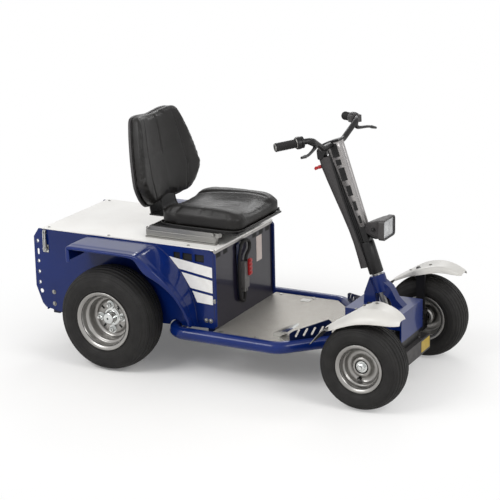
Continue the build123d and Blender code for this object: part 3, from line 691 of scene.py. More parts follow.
def dress_front_hub(name, outward):
    body = f"front_wheel_{name}"
    centre = middle(f"front_tyre_{name}")
    seal = [(8, 12.0), (8, 25.0), (19, 25.2), (21, 23.0), (20, 14.0)]

    def bearing(bm):
        turned(bm, seal, centre, outward, 48, closed=True)

    build(f"front_bearing_seal_{name}", bearing, body, "black_paint")

    def nut(bm):
        bolt_head(
            bm, wheel_point(centre, outward, 19.5, 0, 0), Vector((0, outward, 0)), 15 * MM, 15 * MM
        )
        stud = [wheel_point(centre, outward, 33 + 2 * j, 0, 0) for j in range(4)]
        pipe(bm, stud, 7.5 * MM, 18, (1, 1, 0.95, 0.8))

    build(f"front_axle_nut_{name}", nut, body, "chrome", sharp=30)

    def drum(bm):
        back = [(-30, 14), (-30, 33), (-14, 35), (-4, 34), (-2, 30), (-2, 14)]
        turned(bm, smooth_loop(back, 1), centre, outward, 56, closed=True)

    build(f"front_hub_barrel_{name}", drum, body, "silver_paint")


for name, outward in SIDES:
    for end in TYRES:
        dress_tyre(end, name, outward)
        dress_rim(end, name, outward)
    dress_rear_hub(name, outward)
    dress_front_hub(name, outward)

# Mudguards: pressed sheet with a flat top, a lengthwise crease and a lip that widens onto the arc

# Way along the mudguard: station, height, outer edge in mm, depth of the lip
GUARD_WAY = (
    (-158, 432, 405, 22),
    (-158, 468, 405, 22),
    (-157.5, 488, 405, 20),
    (-154, 496.5, 405, 17),
    (-146, 500, 405, 15),
    (-100, 500, 405, 15),
    (-40, 500, 405, 15),
    (40, 500, 405, 15),
    (110, 500, 405, 16),
    (152, 499.4, 405, 18),
    (172, 494.5, 405, 24),
    (192, 481.9, 405, 31),
    (212, 467.1, 405, 37),
    (230, 451.7, 404, 38),
    (246, 436.1, 399, 34),
    (262, 418.2, 391, 28),
    (280, 394.6, 381, 23),
    (298, 365.8, 369, 18),
    (314, 333.0, 355, 14),
    (327, 296.7, 340, 11),
    (336, 257.9, 323, 9),
    (340.5, 219.0, 308, 8),
    (341, 198.0, 301, 7),
)


def dress_mudguard(name, outward):
    inner = 246

    def pressing(bm):
        rows = []
        count = len(GUARD_WAY)
        for i, (station, height, outer, lip) in enumerate(GUARD_WAY):
            before = GUARD_WAY[max(i - 1, 0)]
            after = GUARD_WAY[min(i + 1, count - 1)]
            along = Vector((after[0] - before[0], 0, after[1] - before[1])).normalized()
            up = Vector((-along.z, 0, along.x))
            span = outer - inner
            across = [
                (0, 0), (span * 0.35, 0), (span * 0.7, 0.2), (span - 34, 0.2), (span - 29, -1.6)
            ]
            across += [
                (span - 11, -1.8), (span - 5.5, -2.6), (span - 1.8, -5.2), (span - 0.4, -9.5)
            ]
            across += [(span - 0.3, -9.5 - max(lip - 14, 0.5)), (span - 1.2, -max(lip - 2.5, 11))]
            across += [(span - 3.4, -max(lip, 12.5)), (span - 6.0, -max(lip - 1.5, 11.5))]
            base = at(station, 0, height)
            row = []
            for width, depth in across:
                row.append(
                    base + Vector((0, outward * (inner + width), 0)) * MM + up * (depth - 0.3) * MM
                )
            rows.append(row)
        grid_faces(bm, rows)

    guard = build(
        f"mudguard_{name}_pressed", pressing, "chassis", "blue_paint",
        upward=True, sharp=60, solid=3.2 * MM,
    )
    round_pressing(guard, "pressed_radii")
    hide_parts(f"mudguard_{name}")


for name, outward in SIDES:
    dress_mudguard(name, outward)

# Side panels: vinyl stripes, edge hems, louvres behind the vents, bolts and latches

# Corners of each stripe as station and height; the left ends follow the mudguard's arc
STRIPES = (
    ((222, 459), (411, 434), (411, 393), (264, 414)),
    ((275, 402), (411, 382), (411, 331), (313, 342)),
    ((321, 331), (411, 320), (411, 284), (341, 287)),
)


def flat_cut(bm, outline, outward, level, thick=0.5):
    """Thin sheet on a side panel: outline of station and height, level in mm from the middle."""
    points = [at(x, outward * level, z) for x, z in outline]
    prism(bm, points, Vector((0, outward * thick * MM, 0)))


def rectangle(left, low, right, high):
    return ((left, low), (right, low), (right, high), (left, high))


def rounded_outline(corners, radius, steps=5):
    """Outline in millimetres with its corners rounded."""
    made = []
    count = len(corners)
    for i in range(count):
        before, corner, after = (Vector(corners[(i + k) % count]) for k in (-1, 0, 1))
        back, ahead = before - corner, after - corner
        start = corner + back.normalized() * min(radius, back.length / 2.2)
        end = corner + ahead.normalized() * min(radius, ahead.length / 2.2)
        for k in range(steps + 1):
            t = k / steps
            made.append(tuple(start * (1 - t) ** 2 + corner * (2 * t * (1 - t)) + end * t**2))
    return made


def dress_side_panel(name, outward):
    def stripes(bm):
        for corners in STRIPES:
            flat_cut(bm, rounded_outline(corners, 2), outward, 245.2, 0.4)

    build(f"panel_stripes_{name}", stripes, "chassis", "white_paint", EXTRA["stripe"])

    def louvres(bm):
        for low, high in ((241, 271), (281, 324), (336, 377)):
            for k in range(2):
                base = 452 + 14 * k
                corners = rectangle(low - 2, base, high + 2, base + 9)
                inner = [at(x, outward * 237, z + 4) for x, z in corners]
                prism(bm, inner, Vector((0, outward * 1.2, -6)) * MM)

    # Painted shade: the slats behind the vents are near-black for the shade inside the vents
    build(f"vent_louvres_{name}", louvres, "chassis", "black_paint", EXTRA["slot"])

    def hem(bm):
        way = [
            at(x, outward * 247.2, z) for x, z in ((427, 206), (427, 484), (421, 492), (400, 501))
        ]
        pipe(bm, rounded_path(way, 0.012), 2.2 * MM, 10)

    build(f"panel_front_hem_{name}", hem, "chassis", "blue_paint")

    def bolts(bm):
        normal = Vector((0, outward, 0))
        for x, z in ((-330, 190), (-330, 240), (150, 190), (380, 218), (400, 218), (420, 300)):
            bolt_head(bm, at(x, outward * 245, z), normal, 6.5 * MM, 6 * MM, dome=0.5)
        for z in (275, 320, 365, 450):
            eye = at(-396, outward * 245.1, z)
            rim = [eye + Vector((cos(a), 0, sin(a))) * 7 * MM for a in ring_angles(20)]
            pipe(bm, rim + [rim[0]], 0.7 * MM, 6)

    build(f"panel_bolts_{name}", bolts, "chassis", "bright_steel", sharp=30)


def ring_angles(count):
    return [2 * pi * k / count for k in range(count)]


def dress_latch(name, outward):
    """Draw latch: base, hooked link and lever, as toggle latches have."""

    def plates(bm):
        base = rounded_outline(rectangle(-371, 406, -343, 439), 4)
        flat_cut(bm, base, outward, 245.3, 2)
        lever = rounded_outline(((-366, 414), (-348, 414), (-350, 486), (-364, 486)), 5)
        flat_cut(bm, lever, outward, 252, 3.5)
        hook = rounded_outline(rectangle(-364, 484, -350, 501), 3)
        flat_cut(bm, hook, outward, 246, 8)

    latch = build(
        f"draw_latch_{name}", plates, "chassis", "bright_steel", bevel=0.8 * MM
    )

    def rods(bm):
        for x in (-361, -353):
            way = [
                at(x, outward * y, z) for y,
                z in ((249, 412), (256.5, 420), (256.5, 494), (250, 500))
            ]
            pipe(bm, rounded_path(way, 0.006), 1.8 * MM, 10)
        axle = [at(x, outward * 250.5, 421) for x in (-369, -357, -345)]
        pipe(bm, axle, 2.6 * MM, 12)
        for x, z in ((-366, 411), (-348, 411), (-366, 434), (-348, 434)):
            bolt_head(bm, at(x, outward * 247.2, z), Vector((0, outward, 0)), 2.6 * MM, 2 * MM, 12)

    build(f"draw_latch_rods_{name}", rods, "chassis", "chrome")
    return latch


latches = [dress_latch(name, outward) for name, outward in SIDES]
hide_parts("lid_latches")
for name, outward in SIDES:
    dress_side_panel(name, outward)

# Front fenders: smooth moulded crescents with a crease along the crown

# Way over the wheel, stations from the front axle: top, rim of the outer skirt, share of full width
FENDER_WAY = (
    (-147, 297, 286, 0.20),
    (-128, 310, 289, 0.42),
    (-104, 326, 300, 0.66),
    (-78, 341, 313, 0.84),
    (-48, 360, 326, 0.95),
    (-14, 380, 338, 1.0),
    (22, 390, 345, 1.0),
    (58, 394, 348, 0.97),
    (92, 390, 348, 0.88),
    (120, 380, 346, 0.72),
    (141, 369, 345, 0.5),
    (153, 361, 346, 0.24),
)


def dress_fender(name, outward):
    inner, outer = 242, 378
    body = f"knuckle_{name}"

    def moulding(bm):
        rows = []
        for ahead, top, rim, share in FENDER_WAY:
            crown = outer - 48
            edge = crown + (outer - crown) * share
            inside = crown - (crown - inner) * (0.35 + 0.65 * share) - 44 * bell(ahead / 42)
            drop = top - rim
            section = [(inside, -drop * 0.62), (inside + 1.5, -drop * 0.22), (inside + 8, -3.5)]
            section += [
                (inside + 22, -1.0), (crown - 20, -0.3), (crown - 4, 0.2), (crown + 4, -1.4)
            ]
            section += [
                (crown + (edge - crown) * 0.55, -drop * 0.24),
                (crown + (edge - crown) * 0.86, -drop * 0.52)
            ]
            section += [(edge, -drop * 0.84), (edge - 0.6, -drop), (edge - 3.5, -drop - 0.8)]
            rows.append([at(FRONT_AXLE + ahead, outward * y, top + dz) for y, dz in section])
        grid_faces(bm, rows)

    fender = build(
        f"front_fender_{name}_moulded", moulding, body, "white_plastic",
        upward=True, sharp=70, solid=2.6 * MM,
    )
    round_pressing(fender, "moulded_radii")
    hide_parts(f"front_fender_{name}")

    def flap(bm):
        way = ((-128, 303), (-146, 292), (-168, 266), (-186, 243), (-196, 233))
        rows = []
        for ahead, height in way:
            rows.append([at(FRONT_AXLE + ahead, outward * y, height) for y in (252, 290, 330, 366)])
        grid_faces(bm, rows)

    liner = build(f"front_flap_{name}", flap, body, "black_rubber", solid=3 * MM)
    liner.modifiers["wall"].offset = 0

    # Painted highlight: a bright steel bead along the flap's outer edge stands for the highlight on
    # that edge
    def edge(bm):
        way = [
            at(FRONT_AXLE + x, outward * 367, z) for x,
            z in ((-128, 303), (-146, 292), (-168, 266), (-190, 238))
        ]
        pipe(bm, rounded_path(way, 0.02), 1.6 * MM, 8)

    build(f"front_flap_painted_highlight_{name}", edge, body, "bright_steel")

    def screws(bm):
        for ahead, height in ((-52, 358.4), (-20, 376.6), (30, 391.6)):
            seat = at(FRONT_AXLE + ahead, outward * 262, height)
            bolt_head(bm, seat, Vector((0, 0, 1)), 4.5 * MM, 3 * MM, 12)

    build(f"front_fender_screws_{name}", screws, body, "bright_steel")


for name, outward in SIDES:
    dress_fender(name, outward)

# Seat: sewn vinyl over foam, swelled by air pressure, then given its bolsters, dish and seams


# Voxel size of a cushion's mesh in mm, frames of cloth, furthest that a point swells in mm
VOXEL, CLOTH_FRAMES, SWELL_LIMIT = 5, 20, 9


def applied(made):
    """Mesh of an object with its modifiers carried out, put back on the object without them."""
    graph = bpy.context.evaluated_depsgraph_get()
    mesh = bpy.data.meshes.new_from_object(made.evaluated_get(graph), depsgraph=graph)
    made.modifiers.clear()
    made.data = mesh
    return mesh


def swell(made, limit, pressure=4):
    """Let the cover fill out like a cushion, no point moving further than the limit."""
    rest = [v.co.copy() for v in made.data.vertices]
    cloth = made.modifiers.new("filling", "CLOTH")
    cloth.settings.use_pressure = True
    cloth.settings.uniform_pressure_force = pressure
    cloth.settings.effector_weights.gravity = 0
    scene = bpy.context.scene
    for step in range(1, CLOTH_FRAMES + 1):
        scene.frame_set(step)
    graph = bpy.context.evaluated_depsgraph_get()
    swelled = made.evaluated_get(graph).to_mesh()
    moved = [v.co.copy() for v in swelled.vertices]
    made.modifiers.clear()
    scene.frame_set(1)
    for vertex, start, end in zip(made.data.vertices, rest, moved):
        way = end - start
        if way.length > limit:
            way *= limit / way.length
        vertex.co = start + way


def line_distance(point, way):
    """Distance in mm from a point to a line of points, and the place along it from 0 to 1."""
    best, place = 1e9, 0.0
    for k, (a, b) in enumerate(zip(way, way[1:])):
        start, run = Vector(a), Vector(b) - Vector(a)
        share = max(0.0, min(1.0, (Vector(point) - start).dot(run) / run.length_squared))
        gap = (Vector(point) - start - run * share).length
        if gap < best:
            best, place = gap, (k + share) / (len(way) - 1)
    return best, place


def stuffed(name, outline, depth, place, form, seams, body, node):
    """Padded piece over an outline in millimetres; form gives its front, seams its sewn lines."""
    bm = bmesh.new()
    inset = 5
    points = [Vector((x, y, inset)) * MM for x, y in outline]
    prism(bm, points, Vector((0, 0, depth - 2 * inset)) * MM)
    mesh = mesh_of(bm, name)
    made = bpy.data.objects.new(name, mesh)
    bpy.context.scene.collection.objects.link(made)
    remesh = made.modifiers.new("even_mesh", "REMESH")
    remesh.mode = "VOXEL"
    remesh.voxel_size = VOXEL * MM
    round_off = made.modifiers.new("round_off", "SMOOTH")
    round_off.factor = 0.5
    round_off.iterations = 10
    applied(made)
    swell(made, SWELL_LIMIT * MM)
    finer = made.modifiers.new("finer", "SUBSURF")
    finer.levels = 1
    finer.render_levels = 1
    mesh = applied(made)
    for vertex in mesh.vertices:
        x, y, z = (c / MM for c in vertex.co)
        share = max(0.0, min(1.0, z / depth))
        z += form(x, y) * share**1.5
        for way, cut, wide in seams:
            gap, along = line_distance((x, y), way)
            if gap < 4 * wide and share > 0.5:
                fade = max(0.0, min(1.0, along / 0.12, (1 - along) / 0.12))
                z -= cut * fade**0.5 * bell(gap / wide)
        vertex.co = place(x, y, z)
    corner = mesh.vertices[0].co
    if sum(f.area * f.normal.dot(f.center - corner) for f in mesh.polygons) < 0:
        mesh.flip_normals()
    mesh.materials.clear()
    mesh.materials.append(MATERIALS["black_vinyl"])
    for face in mesh.polygons:
        face.use_smooth = True
    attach(made, body)
    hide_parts(node)
    return made


SEAT_OUTLINE = rounded_outline(
    (
        (140, -180), (250, -194), (450, -194), (503, -172), (503, 172), (450, 194), (250, 194),
        (140, 180)
    ), 42
)


def seat_form(x, y):
    """Seat top: high side bolsters, dished middle, both ends and the outer edges falling away."""
    across = abs(y) / 194
    bolster = 16 * bell((across - 0.72) / 0.26) * max(0.0, 1 - ((x - 330) / 260) ** 2)
    dish = -14 * max(0.0, 1 - (across / 0.62) ** 2) * max(0.0, 1 - ((x - 330) / 200) ** 2)
    front = -20 * max(0.0, (x - 430) / 73) ** 1.6
    rear = -12 * max(0.0, (215 - x) / 75) ** 1.4
    side = -18 * max(0.0, (across - 0.82) / 0.18) ** 1.7
    return bolster + dish + front + rear + side


SEAT_SEAMS = [
    (((150, s * 92), (260, s * 112), (380, s * 122), (470, s * 118)), 3.4, 6) for s in (-1, 1)
] + [(((205, -70), (300, -24), (395, 18)), 3.0, 16), (((250, 40), (340, 58), (430, 52)), 2.6, 16)]
stuffed(
    "seat_cushion_sewn", SEAT_OUTLINE, 62,
    lambda x, y, z: at(x, y, 563.5 + z), seat_form, SEAT_SEAMS,
    "lid", "seat_cushion",
)

# Backrest, in its own plane: width, height above the foot, depth ahead of the plane

LEAN = radians(9)
BACK_WRAP = 38
# Middle height of the backrest up its own plane, which its rings shrink towards
BACK_MIDDLE = 176
BACK_OUTLINE = rounded_outline(
    [
        (0, 22), (50, 8), (100, 5), (150, 10), (192, 44), (224, 92), (224, 128), (208, 205),
        (178, 292), (146, 362)
    ]
    + [(96, 366), (0, 356), (-96, 366)]
    + [
        (-146, 362), (-178, 292), (-208, 205), (-224, 128), (-224, 92), (-192, 44), (-150, 10),
        (-100, 5)
    ]
    + [(-50, 8)],
    24,
)


def on_back(x, y, z):
    """Point of the backrest: width, height up its plane, distance ahead of its front plane."""
    ahead = z + BACK_WRAP * (x / 232) ** 2
    station = 95 - y * sin(LEAN) + ahead * cos(LEAN)
    return at(station, x, 610 + y * cos(LEAN) + ahead * sin(LEAN))


def back_form(x, y):
    """Front of the backrest: side bolsters, hollow middle, lumbar swell low down."""
    across = abs(x) / 215
    hollow = -9 * max(0.0, 1 - (across / 0.72) ** 2)
    lumbar = 7 * max(0.0, 1 - ((y - 110) / 95) ** 2) * max(0.0, 1 - across)
    top = -5 * max(0.0, (y - 300) / 60) ** 2
    return hollow + lumbar + top


BACK_SEAMS = [
    (((0, 352), (2, 290), (1, 190)), 4.2, 4),
] + [(((s * 108, 346), (s * 128, 230), (s * 140, 120), (s * 118, 22)), 3.0, 5) for s in (-1, 1)]
stuffed(
    "back_cushion_sewn", [(x * 1.03, 8 + (y - 8) * 1.025) for x, y in BACK_OUTLINE], 46,
    lambda x, y, z: on_back(x, y, z - 45), back_form, BACK_SEAMS, "lid", "back_cushion",
)


def back_shell(bm):
    """Moulded shell behind the pad: a rolled rim and a bowed back."""
    rings = []
    steps = (
        (1.0, -44), (1.012, -47), (1.014, -51), (1.0, -55), (0.965, -58.5), (0.86, -61.5),
        (0.62, -63)
    )
    for share, depth in steps + ((0.36, -63.4), (0.12, -63.6)):
        ring = []
        for x, y in BACK_OUTLINE:
            ring.append(on_back(x * share, BACK_MIDDLE + (y - BACK_MIDDLE) * share, depth))
        rings.append(ring)
    made = grid_faces(bm, rings, wrap_columns=True)
    fan(bm, made[-1], on_back(0, BACK_MIDDLE, -63.6))
    inner = [
        on_back(x * 0.93, BACK_MIDDLE + (y - BACK_MIDDLE) * 0.95, -44) for x, y in BACK_OUTLINE
    ]
    front = [bm.verts.new(p) for p in inner]
    for i, first in enumerate(front):
        k = (i + 1) % len(front)
        bm.faces.new((made[0][i], made[0][k], front[k], first))
    fan(bm, front, on_back(0, BACK_MIDDLE, -44))


shell = build("back_shell_moulded", back_shell, "lid", "dark_grey_plastic", sharp=50)
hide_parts("back_shell")


def bead(way):
    """Maker of a piping cord round a closed line of points."""
    return lambda bm: pipe(bm, way + way[:2], 2.6 * MM, 8)


BACK_LINE = [on_back(x * 0.975, 8 + (y - 8) * 0.985, -41) for x, y in BACK_OUTLINE]
build("back_piping", bead(BACK_LINE), "lid", "black_vinyl")
build("seat_piping", bead([at(x, y, 570) for x, y in SEAT_OUTLINE]), "lid", "black_vinyl")


# Middle of the seat, in millimetres ahead of the rear axle
SEAT_MIDDLE = 321


def seat_pan_rim(bm):
    """Pressed pan edge under the cushion."""
    rings = []
    for grow, height in (
        (-14, 562.2), (-1, 562.2), (0.5, 564), (0.5, 568), (-1.5, 568.5), (-2.5, 565)
    ):
        share = 1 + grow / 190
        rings.append(
            [
                at(SEAT_MIDDLE + (x - SEAT_MIDDLE) * share, y * share, height) for x,
                y in SEAT_OUTLINE
            ]
        )
    grid_faces(bm, rings, wrap_rows=True, wrap_columns=True)


build("seat_pan_rim", seat_pan_rim, "lid", "black_paint", sharp=50)


def back_bracket(bm):
    """Bent strap that carries the backrest, ribbed along its edges."""
    way = ((150, 565), (118, 566), (96, 576), (84, 600), (74, 650), (64, 712))
    for rib in (-52, 52):
        pipe(bm, rounded_path([at(x - 2, rib, z) for x, z in way], 0.02), 4 * MM, 10)
    rows = []
    for x, z in way:
        rows.append([at(x, y, z) for y in (-56, -48, 0, 48, 56)])
    grid_faces(bm, rows)


build("back_bracket", back_bracket, "lid", "black_paint", sharp=60)


def rail_details(bm):
    """Channel slots and end screws of the slide rails."""
    for side in (-1, 1):
        for x in (100, 392):
            bolt_head(bm, at(x, side * 197, 547), Vector((0, side, 0)), 5 * MM, 4 * MM)
        for z in (516.5, 535.5):
            way = [at(x, side * 190.5, z) for x in (90, 240, 398)]
            pipe(bm, way, 1.6 * MM, 8)


build("seat_rail_details", rail_details, "lid", "bright_steel", sharp=30)


def seat_lever(bm):
    """Slide lever under the seat's far front corner."""
    way = [at(410, 180, 540), at(430, 205, 536), at(436, 236, 541), at(440, 262, 546)]
    pipe(bm, rounded_path(way, 0.03), 3.6 * MM, 12)


build("seat_lever", seat_lever, "lid", "black_paint")


def lever_knob(bm):
    way = [at(438.5, 254, 544.5), at(439, 258, 545.3), at(440, 264, 546.4), at(440.6, 269, 547.2)]
    pipe(bm, way, 5.2 * MM, 14, (0.8, 1, 1, 0.7))


build("seat_lever_knob", lever_knob, "lid", "black_rubber")

# Steering column: grooved black extrusion, silver strip with dark windows, grey rear cover

COLUMN_LEAN = radians(18.23)
COLUMN_ALONG = Vector((-sin(COLUMN_LEAN), 0, cos(COLUMN_LEAN)))
COLUMN_AHEAD = Vector((cos(COLUMN_LEAN), 0, sin(COLUMN_LEAN)))


def on_column(up, ahead, y):
    """Point from the foot of the column's front edge: up the column, ahead of that edge, width."""
    return at(1007, y, 422) + (COLUMN_ALONG * up + COLUMN_AHEAD * ahead) * MM


def extrusion(bm):
    """Drawn section with three grooves down each side, square cut at the ends."""
    half = 19.5
    side = [(-1.5, half), (-10, half)]
    for groove in (-30, -38, -46):
        side += [
            (groove + 3.4, half), (groove + 2.4, half - 3), (groove - 2.4, half - 3),
            (groove - 3.4, half)
        ]
    side += [(-56, half), (-58, half - 2)]
    section = [(0, half - 1.5)] + side + [(x, -y) for x, y in reversed(side)] + [(0, 1.5 - half)]
    rows = []
    for up in (22, 60, 140, 240, 340, 440, 528):
        narrow = min(1.0, 0.62 + 0.38 * up / 300)
        rows.append([on_column(up, x * narrow, y) for x, y in section])
    capped(bm, rows)


column = build("column_extrusion", extrusion, "steering", "black_paint", sharp=30)
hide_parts("steering_column")

# Rear edge of the moulded cover, up the column and behind the front edge
COVER_WAY = (
    (32, 74), (80, 72), (130, 71), (186, 74), (250, 82), (320, 92), (390, 102), (440, 108),
    (478, 108)
)


def rear_cover(bm):
    rows = []
    for up, reach in COVER_WAY:
        narrow = min(1.0, 0.62 + 0.38 * up / 300)
        front = 57 * narrow
        deep = reach - front
        half = 18.8
        section = [
            (-front, half - 1), (-front - deep * 0.3, half), (-front - deep * 0.7, half - 1.5)
        ]
        section += [(-front - deep * 0.93, half - 6), (-front - deep, half - 13)]
        rows.append(
            [on_column(up, x, y) for x, y in section + [(x, -y) for x, y in reversed(section)]]
        )
    capped(bm, rows)


build("column_rear_cover", rear_cover, "steering", "dark_grey_plastic", sharp=60)


def column_cap(bm):
    """Black cap over the head of the column, with the clamp for the bar."""
    outline = [
        (524, 1), (533, -1), (533, -30), (530, -70), (512, -102), (476, -109), (470, -92),
        (500, -60), (518, -30)
    ]
    points = [on_column(up, ahead, -19.9) for up, ahead in rounded_outline(outline, 7)]
    prism(bm, points, Vector((0, 39.8 * MM, 0)))


build("column_cap", column_cap, "steering", "black_paint", sharp=40, bevel=2 * MM)


def strip_half(bm, side):
    """Silver strip folded over the front edge: wide at the head, narrow at the foot."""
    rows = []
    for up in (188, 250, 310, 370, 430, 490, 523):
        wide = 19 + 34 * (up - 188) / 335
        rows.append(
            [
                on_column(up, x, side * y) for x,
                y in ((-wide, 20.3), (-3, 20.4), (-1, 20.3), (0.6, 19.4), (0.8, 18), (0.8, 0))
            ]
        )
    grid_faces(bm, rows)


def silver_strip(bm):
    for side in (-1, 1):
        strip_half(bm, side)


build(
    "column_silver_strip", silver_strip, "steering", "silver_paint", EXTRA["strip"], sharp=40,
    solid=0.8 * MM
)

# Windows in the strip: from and to up the column, how far behind the edge they start, and width
WINDOWS = (
    (467, 518, 13, 28), (435, 457, 15, 21), (374, 424, 10, 24), (313, 353, 7, 20), (254, 290, 5, 15)
)
WINDOWS += ((203, 233, 4, 10),)


def strip_windows(bm):
    for low, high, start, wide in WINDOWS:
        for side in (-1, 1):
            corners = [(low, -start), (high, -start), (high, -start - wide), (low, -start - wide)]
            points = [
                on_column(up, ahead, side * 20.7) for up, ahead in rounded_outline(corners, 1.5)
            ]
            prism(bm, points, Vector((0, side * 0.5 * MM, 0)))


# Painted shade: the windows are thin near-black plates on the strip for the shade in them
build("column_strip_windows", strip_windows, "steering", "black_paint", EXTRA["slot"], sharp=30)


def lower_sleeve(bm):
    """Round sleeve at the foot of the column, over the head tube."""
    foot = at(985, 0, 430)
    lean = radians(19)
    axis = Vector((-sin(lean), 0, cos(lean)))
    rows = []
    for along, radius in ((-12, 24), (-12, 27), (-10, 28), (108, 27.6), (113, 26), (115, 18)):
        ring = []
        for a in ring_angles(40):
            across = Vector((cos(lean), 0, sin(lean))) * cos(a) + Vector((0, 1, 0)) * sin(a)
            ring.append(foot + (axis * along + across * radius) * MM)
        rows.append(ring)
    capped(bm, rows)


build("column_sleeve", lower_sleeve, "steering", "black_paint", sharp=40)


def ignition_key(bm):
    seat = on_column(446, -110, 0)
    way = [seat, seat + Vector((-8, 0, -3)) * MM, seat + Vector((-14, 0, -5)) * MM]
    pipe(bm, way, 7 * MM, 16)
    bow = [
        seat + Vector((x, 0, z)) * MM for x,
        z in ((-14, -1), (-26, -3), (-31, -10), (-27, -18), (-16, -13))
    ]
    prism(bm, [p - Vector((0, 3 * MM, 0)) for p in bow], Vector((0, 6 * MM, 0)))


build(
    "ignition_key", ignition_key, "steering", "grey_plastic", EXTRA["red"], sharp=30, bevel=1 * MM
)

# Work lamp: housing on a bracket, fluted glass in a rim


def lamp_housing(bm):
    rows = []
    sizes = (
        (950, 38, 36, 592), (962, 60, 44, 594), (980, 78, 54, 597), (1000, 94, 66, 599),
        (1018, 106, 74, 600)
    )
    for station, wide, tall, mid in sizes + (
        (1020, 111, 79, 600), (1040, 111, 79, 600), (1042, 108, 76, 600)
    ):
        corners = rectangle(-wide / 2, mid - tall / 2, wide / 2, mid + tall / 2)
        rows.append([at(station, y, z) for y, z in rounded_outline(corners, 14, 6)])
    made = grid_faces(bm, rows, wrap_columns=True)
    bm.faces.new(made[0])
    rim = [at(1041, (p.co.y) / MM * 0.92, 600 + (p.co.z / MM - 600) * 0.9) for p in made[-1]]
    inner = [bm.verts.new(p) for p in rim]
    back = [bm.verts.new(p - Vector((6 * MM, 0, 0))) for p in rim]
    for i in range(len(inner)):
        k = (i + 1) % len(inner)
        bm.faces.new((made[-1][i], made[-1][k], inner[k], inner[i]))
        bm.faces.new((inner[i], inner[k], back[k], back[i]))


lamp = build("work_lamp_housing", lamp_housing, "steering", "dark_grey_plastic", sharp=40)
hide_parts("work_lamp")


def lamp_lens(bm):
    rings = []
    for share, ahead in ((0.93, 1036), (0.6, 1038.5), (0.3, 1039.6)):
        corners = rectangle(-52, 563, 52, 637)
        rings.append(
            [
                at(ahead, y * share, 600 + (z - 600) * share) for y,
                z in rounded_outline(corners, 12, 6)
            ]
        )
    made = grid_faces(bm, rings, wrap_columns=True)
    fan(bm, made[-1], at(1040, 0, 600))


build("work_lamp_lens", lamp_lens, "steering", "white_plastic", EXTRA["lens"], sharp=60)


def lamp_bracket(bm):
    way = [on_column(185, 0, 0), at(962, 0, 560), at(990, 0, 555), at(998, 0, 566)]
    pipe(bm, rounded_path(way, 0.02), 6 * MM, 12)
    for side in (-1, 1):
        bolt_head(bm, at(996, side * 50, 600), Vector((0, side, 0)), 6 * MM, 5 * MM)


build("work_lamp_bracket", lamp_bracket, "steering", "black_paint", sharp=35)

# Handlebar: ribbed grips, thumb throttle and switch box, brake levers

BAR_ENDS = {name: (at(726, s * 300, 945), at(821, s * 205, 960)) for name, s in SIDES}


def on_bar(name, along, ahead=0.0, up=0.0):
    """Point by the grip: distance inward from its end, then ahead and up, in millimetres."""
    end, bend = BAR_ENDS[name]
    inward = (bend - end).normalized()
    across = Vector((0, 0, 1)).cross(inward).normalized()
    if across.x < 0:
        across = -across
    rise = inward.cross(across).normalized()
    if rise.z < 0:
        rise = -rise
    return end + (inward * along + across * ahead + rise * up) * MM


def collar(bm, name, profile, segments):
    """Solid turned about a grip; profile holds (distance inward, radius) in millimetres."""
    way = [on_bar(name, along) for along, _ in profile]
    pipe(bm, way, MM, segments, [radius for _, radius in profile])


def dress_bar_end(name, outward):
    def grip(bm):
        way, sizes = [on_bar(name, -5.5), on_bar(name, -5), on_bar(name, -2)], [0.55, 0.92, 1.0]
        for k in range(26):
            way.append(on_bar(name, 2 + 2.9 * k))
            sizes.append(0.97 if k % 2 else 0.87)
        way.append(on_bar(name, 77))
        sizes.append(1.0)
        pipe(bm, way, 17 * MM, 28, sizes)

    made = build(f"grip_{name}", grip, "steering", "black_rubber", sharp=60)

    def end_cap(bm):
        way = [on_bar(name, a) for a in (-3, -6.5, -7.5, -7.5, -6)]
        pipe(bm, way, 15 * MM, 28, (1, 1, 0.9, 0.6, 0.5))

    build(f"grip_end_{name}", end_cap, "steering", "bright_steel", sharp=40)

    def clamp(bm):
        profile = (
            (78, 15), (78.5, 20.5), (80, 21.8), (90, 22), (92, 20), (94, 20), (96, 22), (102, 21.8),
            (104, 15)
        )
        collar(bm, name, profile, 30)
        lever = [on_bar(name, 120, 2, -4), at(826, outward * 178, 934), at(828, outward * 196, 928)]
        pipe(bm, rounded_path(lever, 0.01), 7.5 * MM, 12)

    build(f"bar_clamp_{name}", clamp, "steering", "black_paint", sharp=35)

    def lever(bm):
        way = [
            at(826, outward * 188, 929), at(830, outward * 215, 924), at(838, outward * 270, 918)
        ]
        way += [at(842, outward * 332, 912 - outward * 12)]
        way = rounded_path(way, 0.03)
        count = len(way)
        pipe(
            bm, way, 5.2 * MM, 12, [1.25 - 0.35 * k / count for k in range(count - 2)] + [1.3, 0.9]
        )

    build(f"brake_lever_{name}", lever, "steering", "black_paint", sharp=50)
    return made


grips = [dress_bar_end(name, outward) for name, outward in SIDES]
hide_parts("bar_controls")


# Collar of the twist grip, on the right, with its bright inner face
THROTTLE = (
    (
        "throttle_ring", "black_paint",
        ((74, 18), (75, 21), (77, 23), (84, 23.5), (91, 23), (93, 21), (94, 18)),
    ),
    ("throttle_face", "bright_steel", ((73.6, 18), (73.4, 20), (74.6, 21))),
)
for part, slot, profile in THROTTLE:
    build(part, lambda bm: collar(bm, "right", profile, 36), "steering", slot, sharp=40)


def switch_box(bm):
    """Switch box inboard of the left grip, with a rocker and a push button."""
    corners = [(80, -21), (120, -21), (120, 23), (80, 27)]
    ring = rounded_outline(corners, 7)
    low = [on_bar("left", a, h, -16) for a, h in ring]
    high = on_bar("left", 100, 0, 12) - on_bar("left", 100, 0, -16)
    prism(bm, low, high)
    button = [on_bar("left", 90, -6, 12), on_bar("left", 90, -6, 18), on_bar("left", 90, -6, 20)]
    pipe(bm, button, 6.5 * MM, 16, (1, 1, 0.7))
    rocker = rectangle(102, -10, 116, 8)
    prism(bm, [on_bar("left", a, h, 12) for a, h in rocker], (high.normalized() * 4) * MM)


build(
    "switch_box", switch_box, "steering", "black_paint", MATERIALS["dark_grey_plastic"], sharp=35,
    bevel=1.5 * MM
)
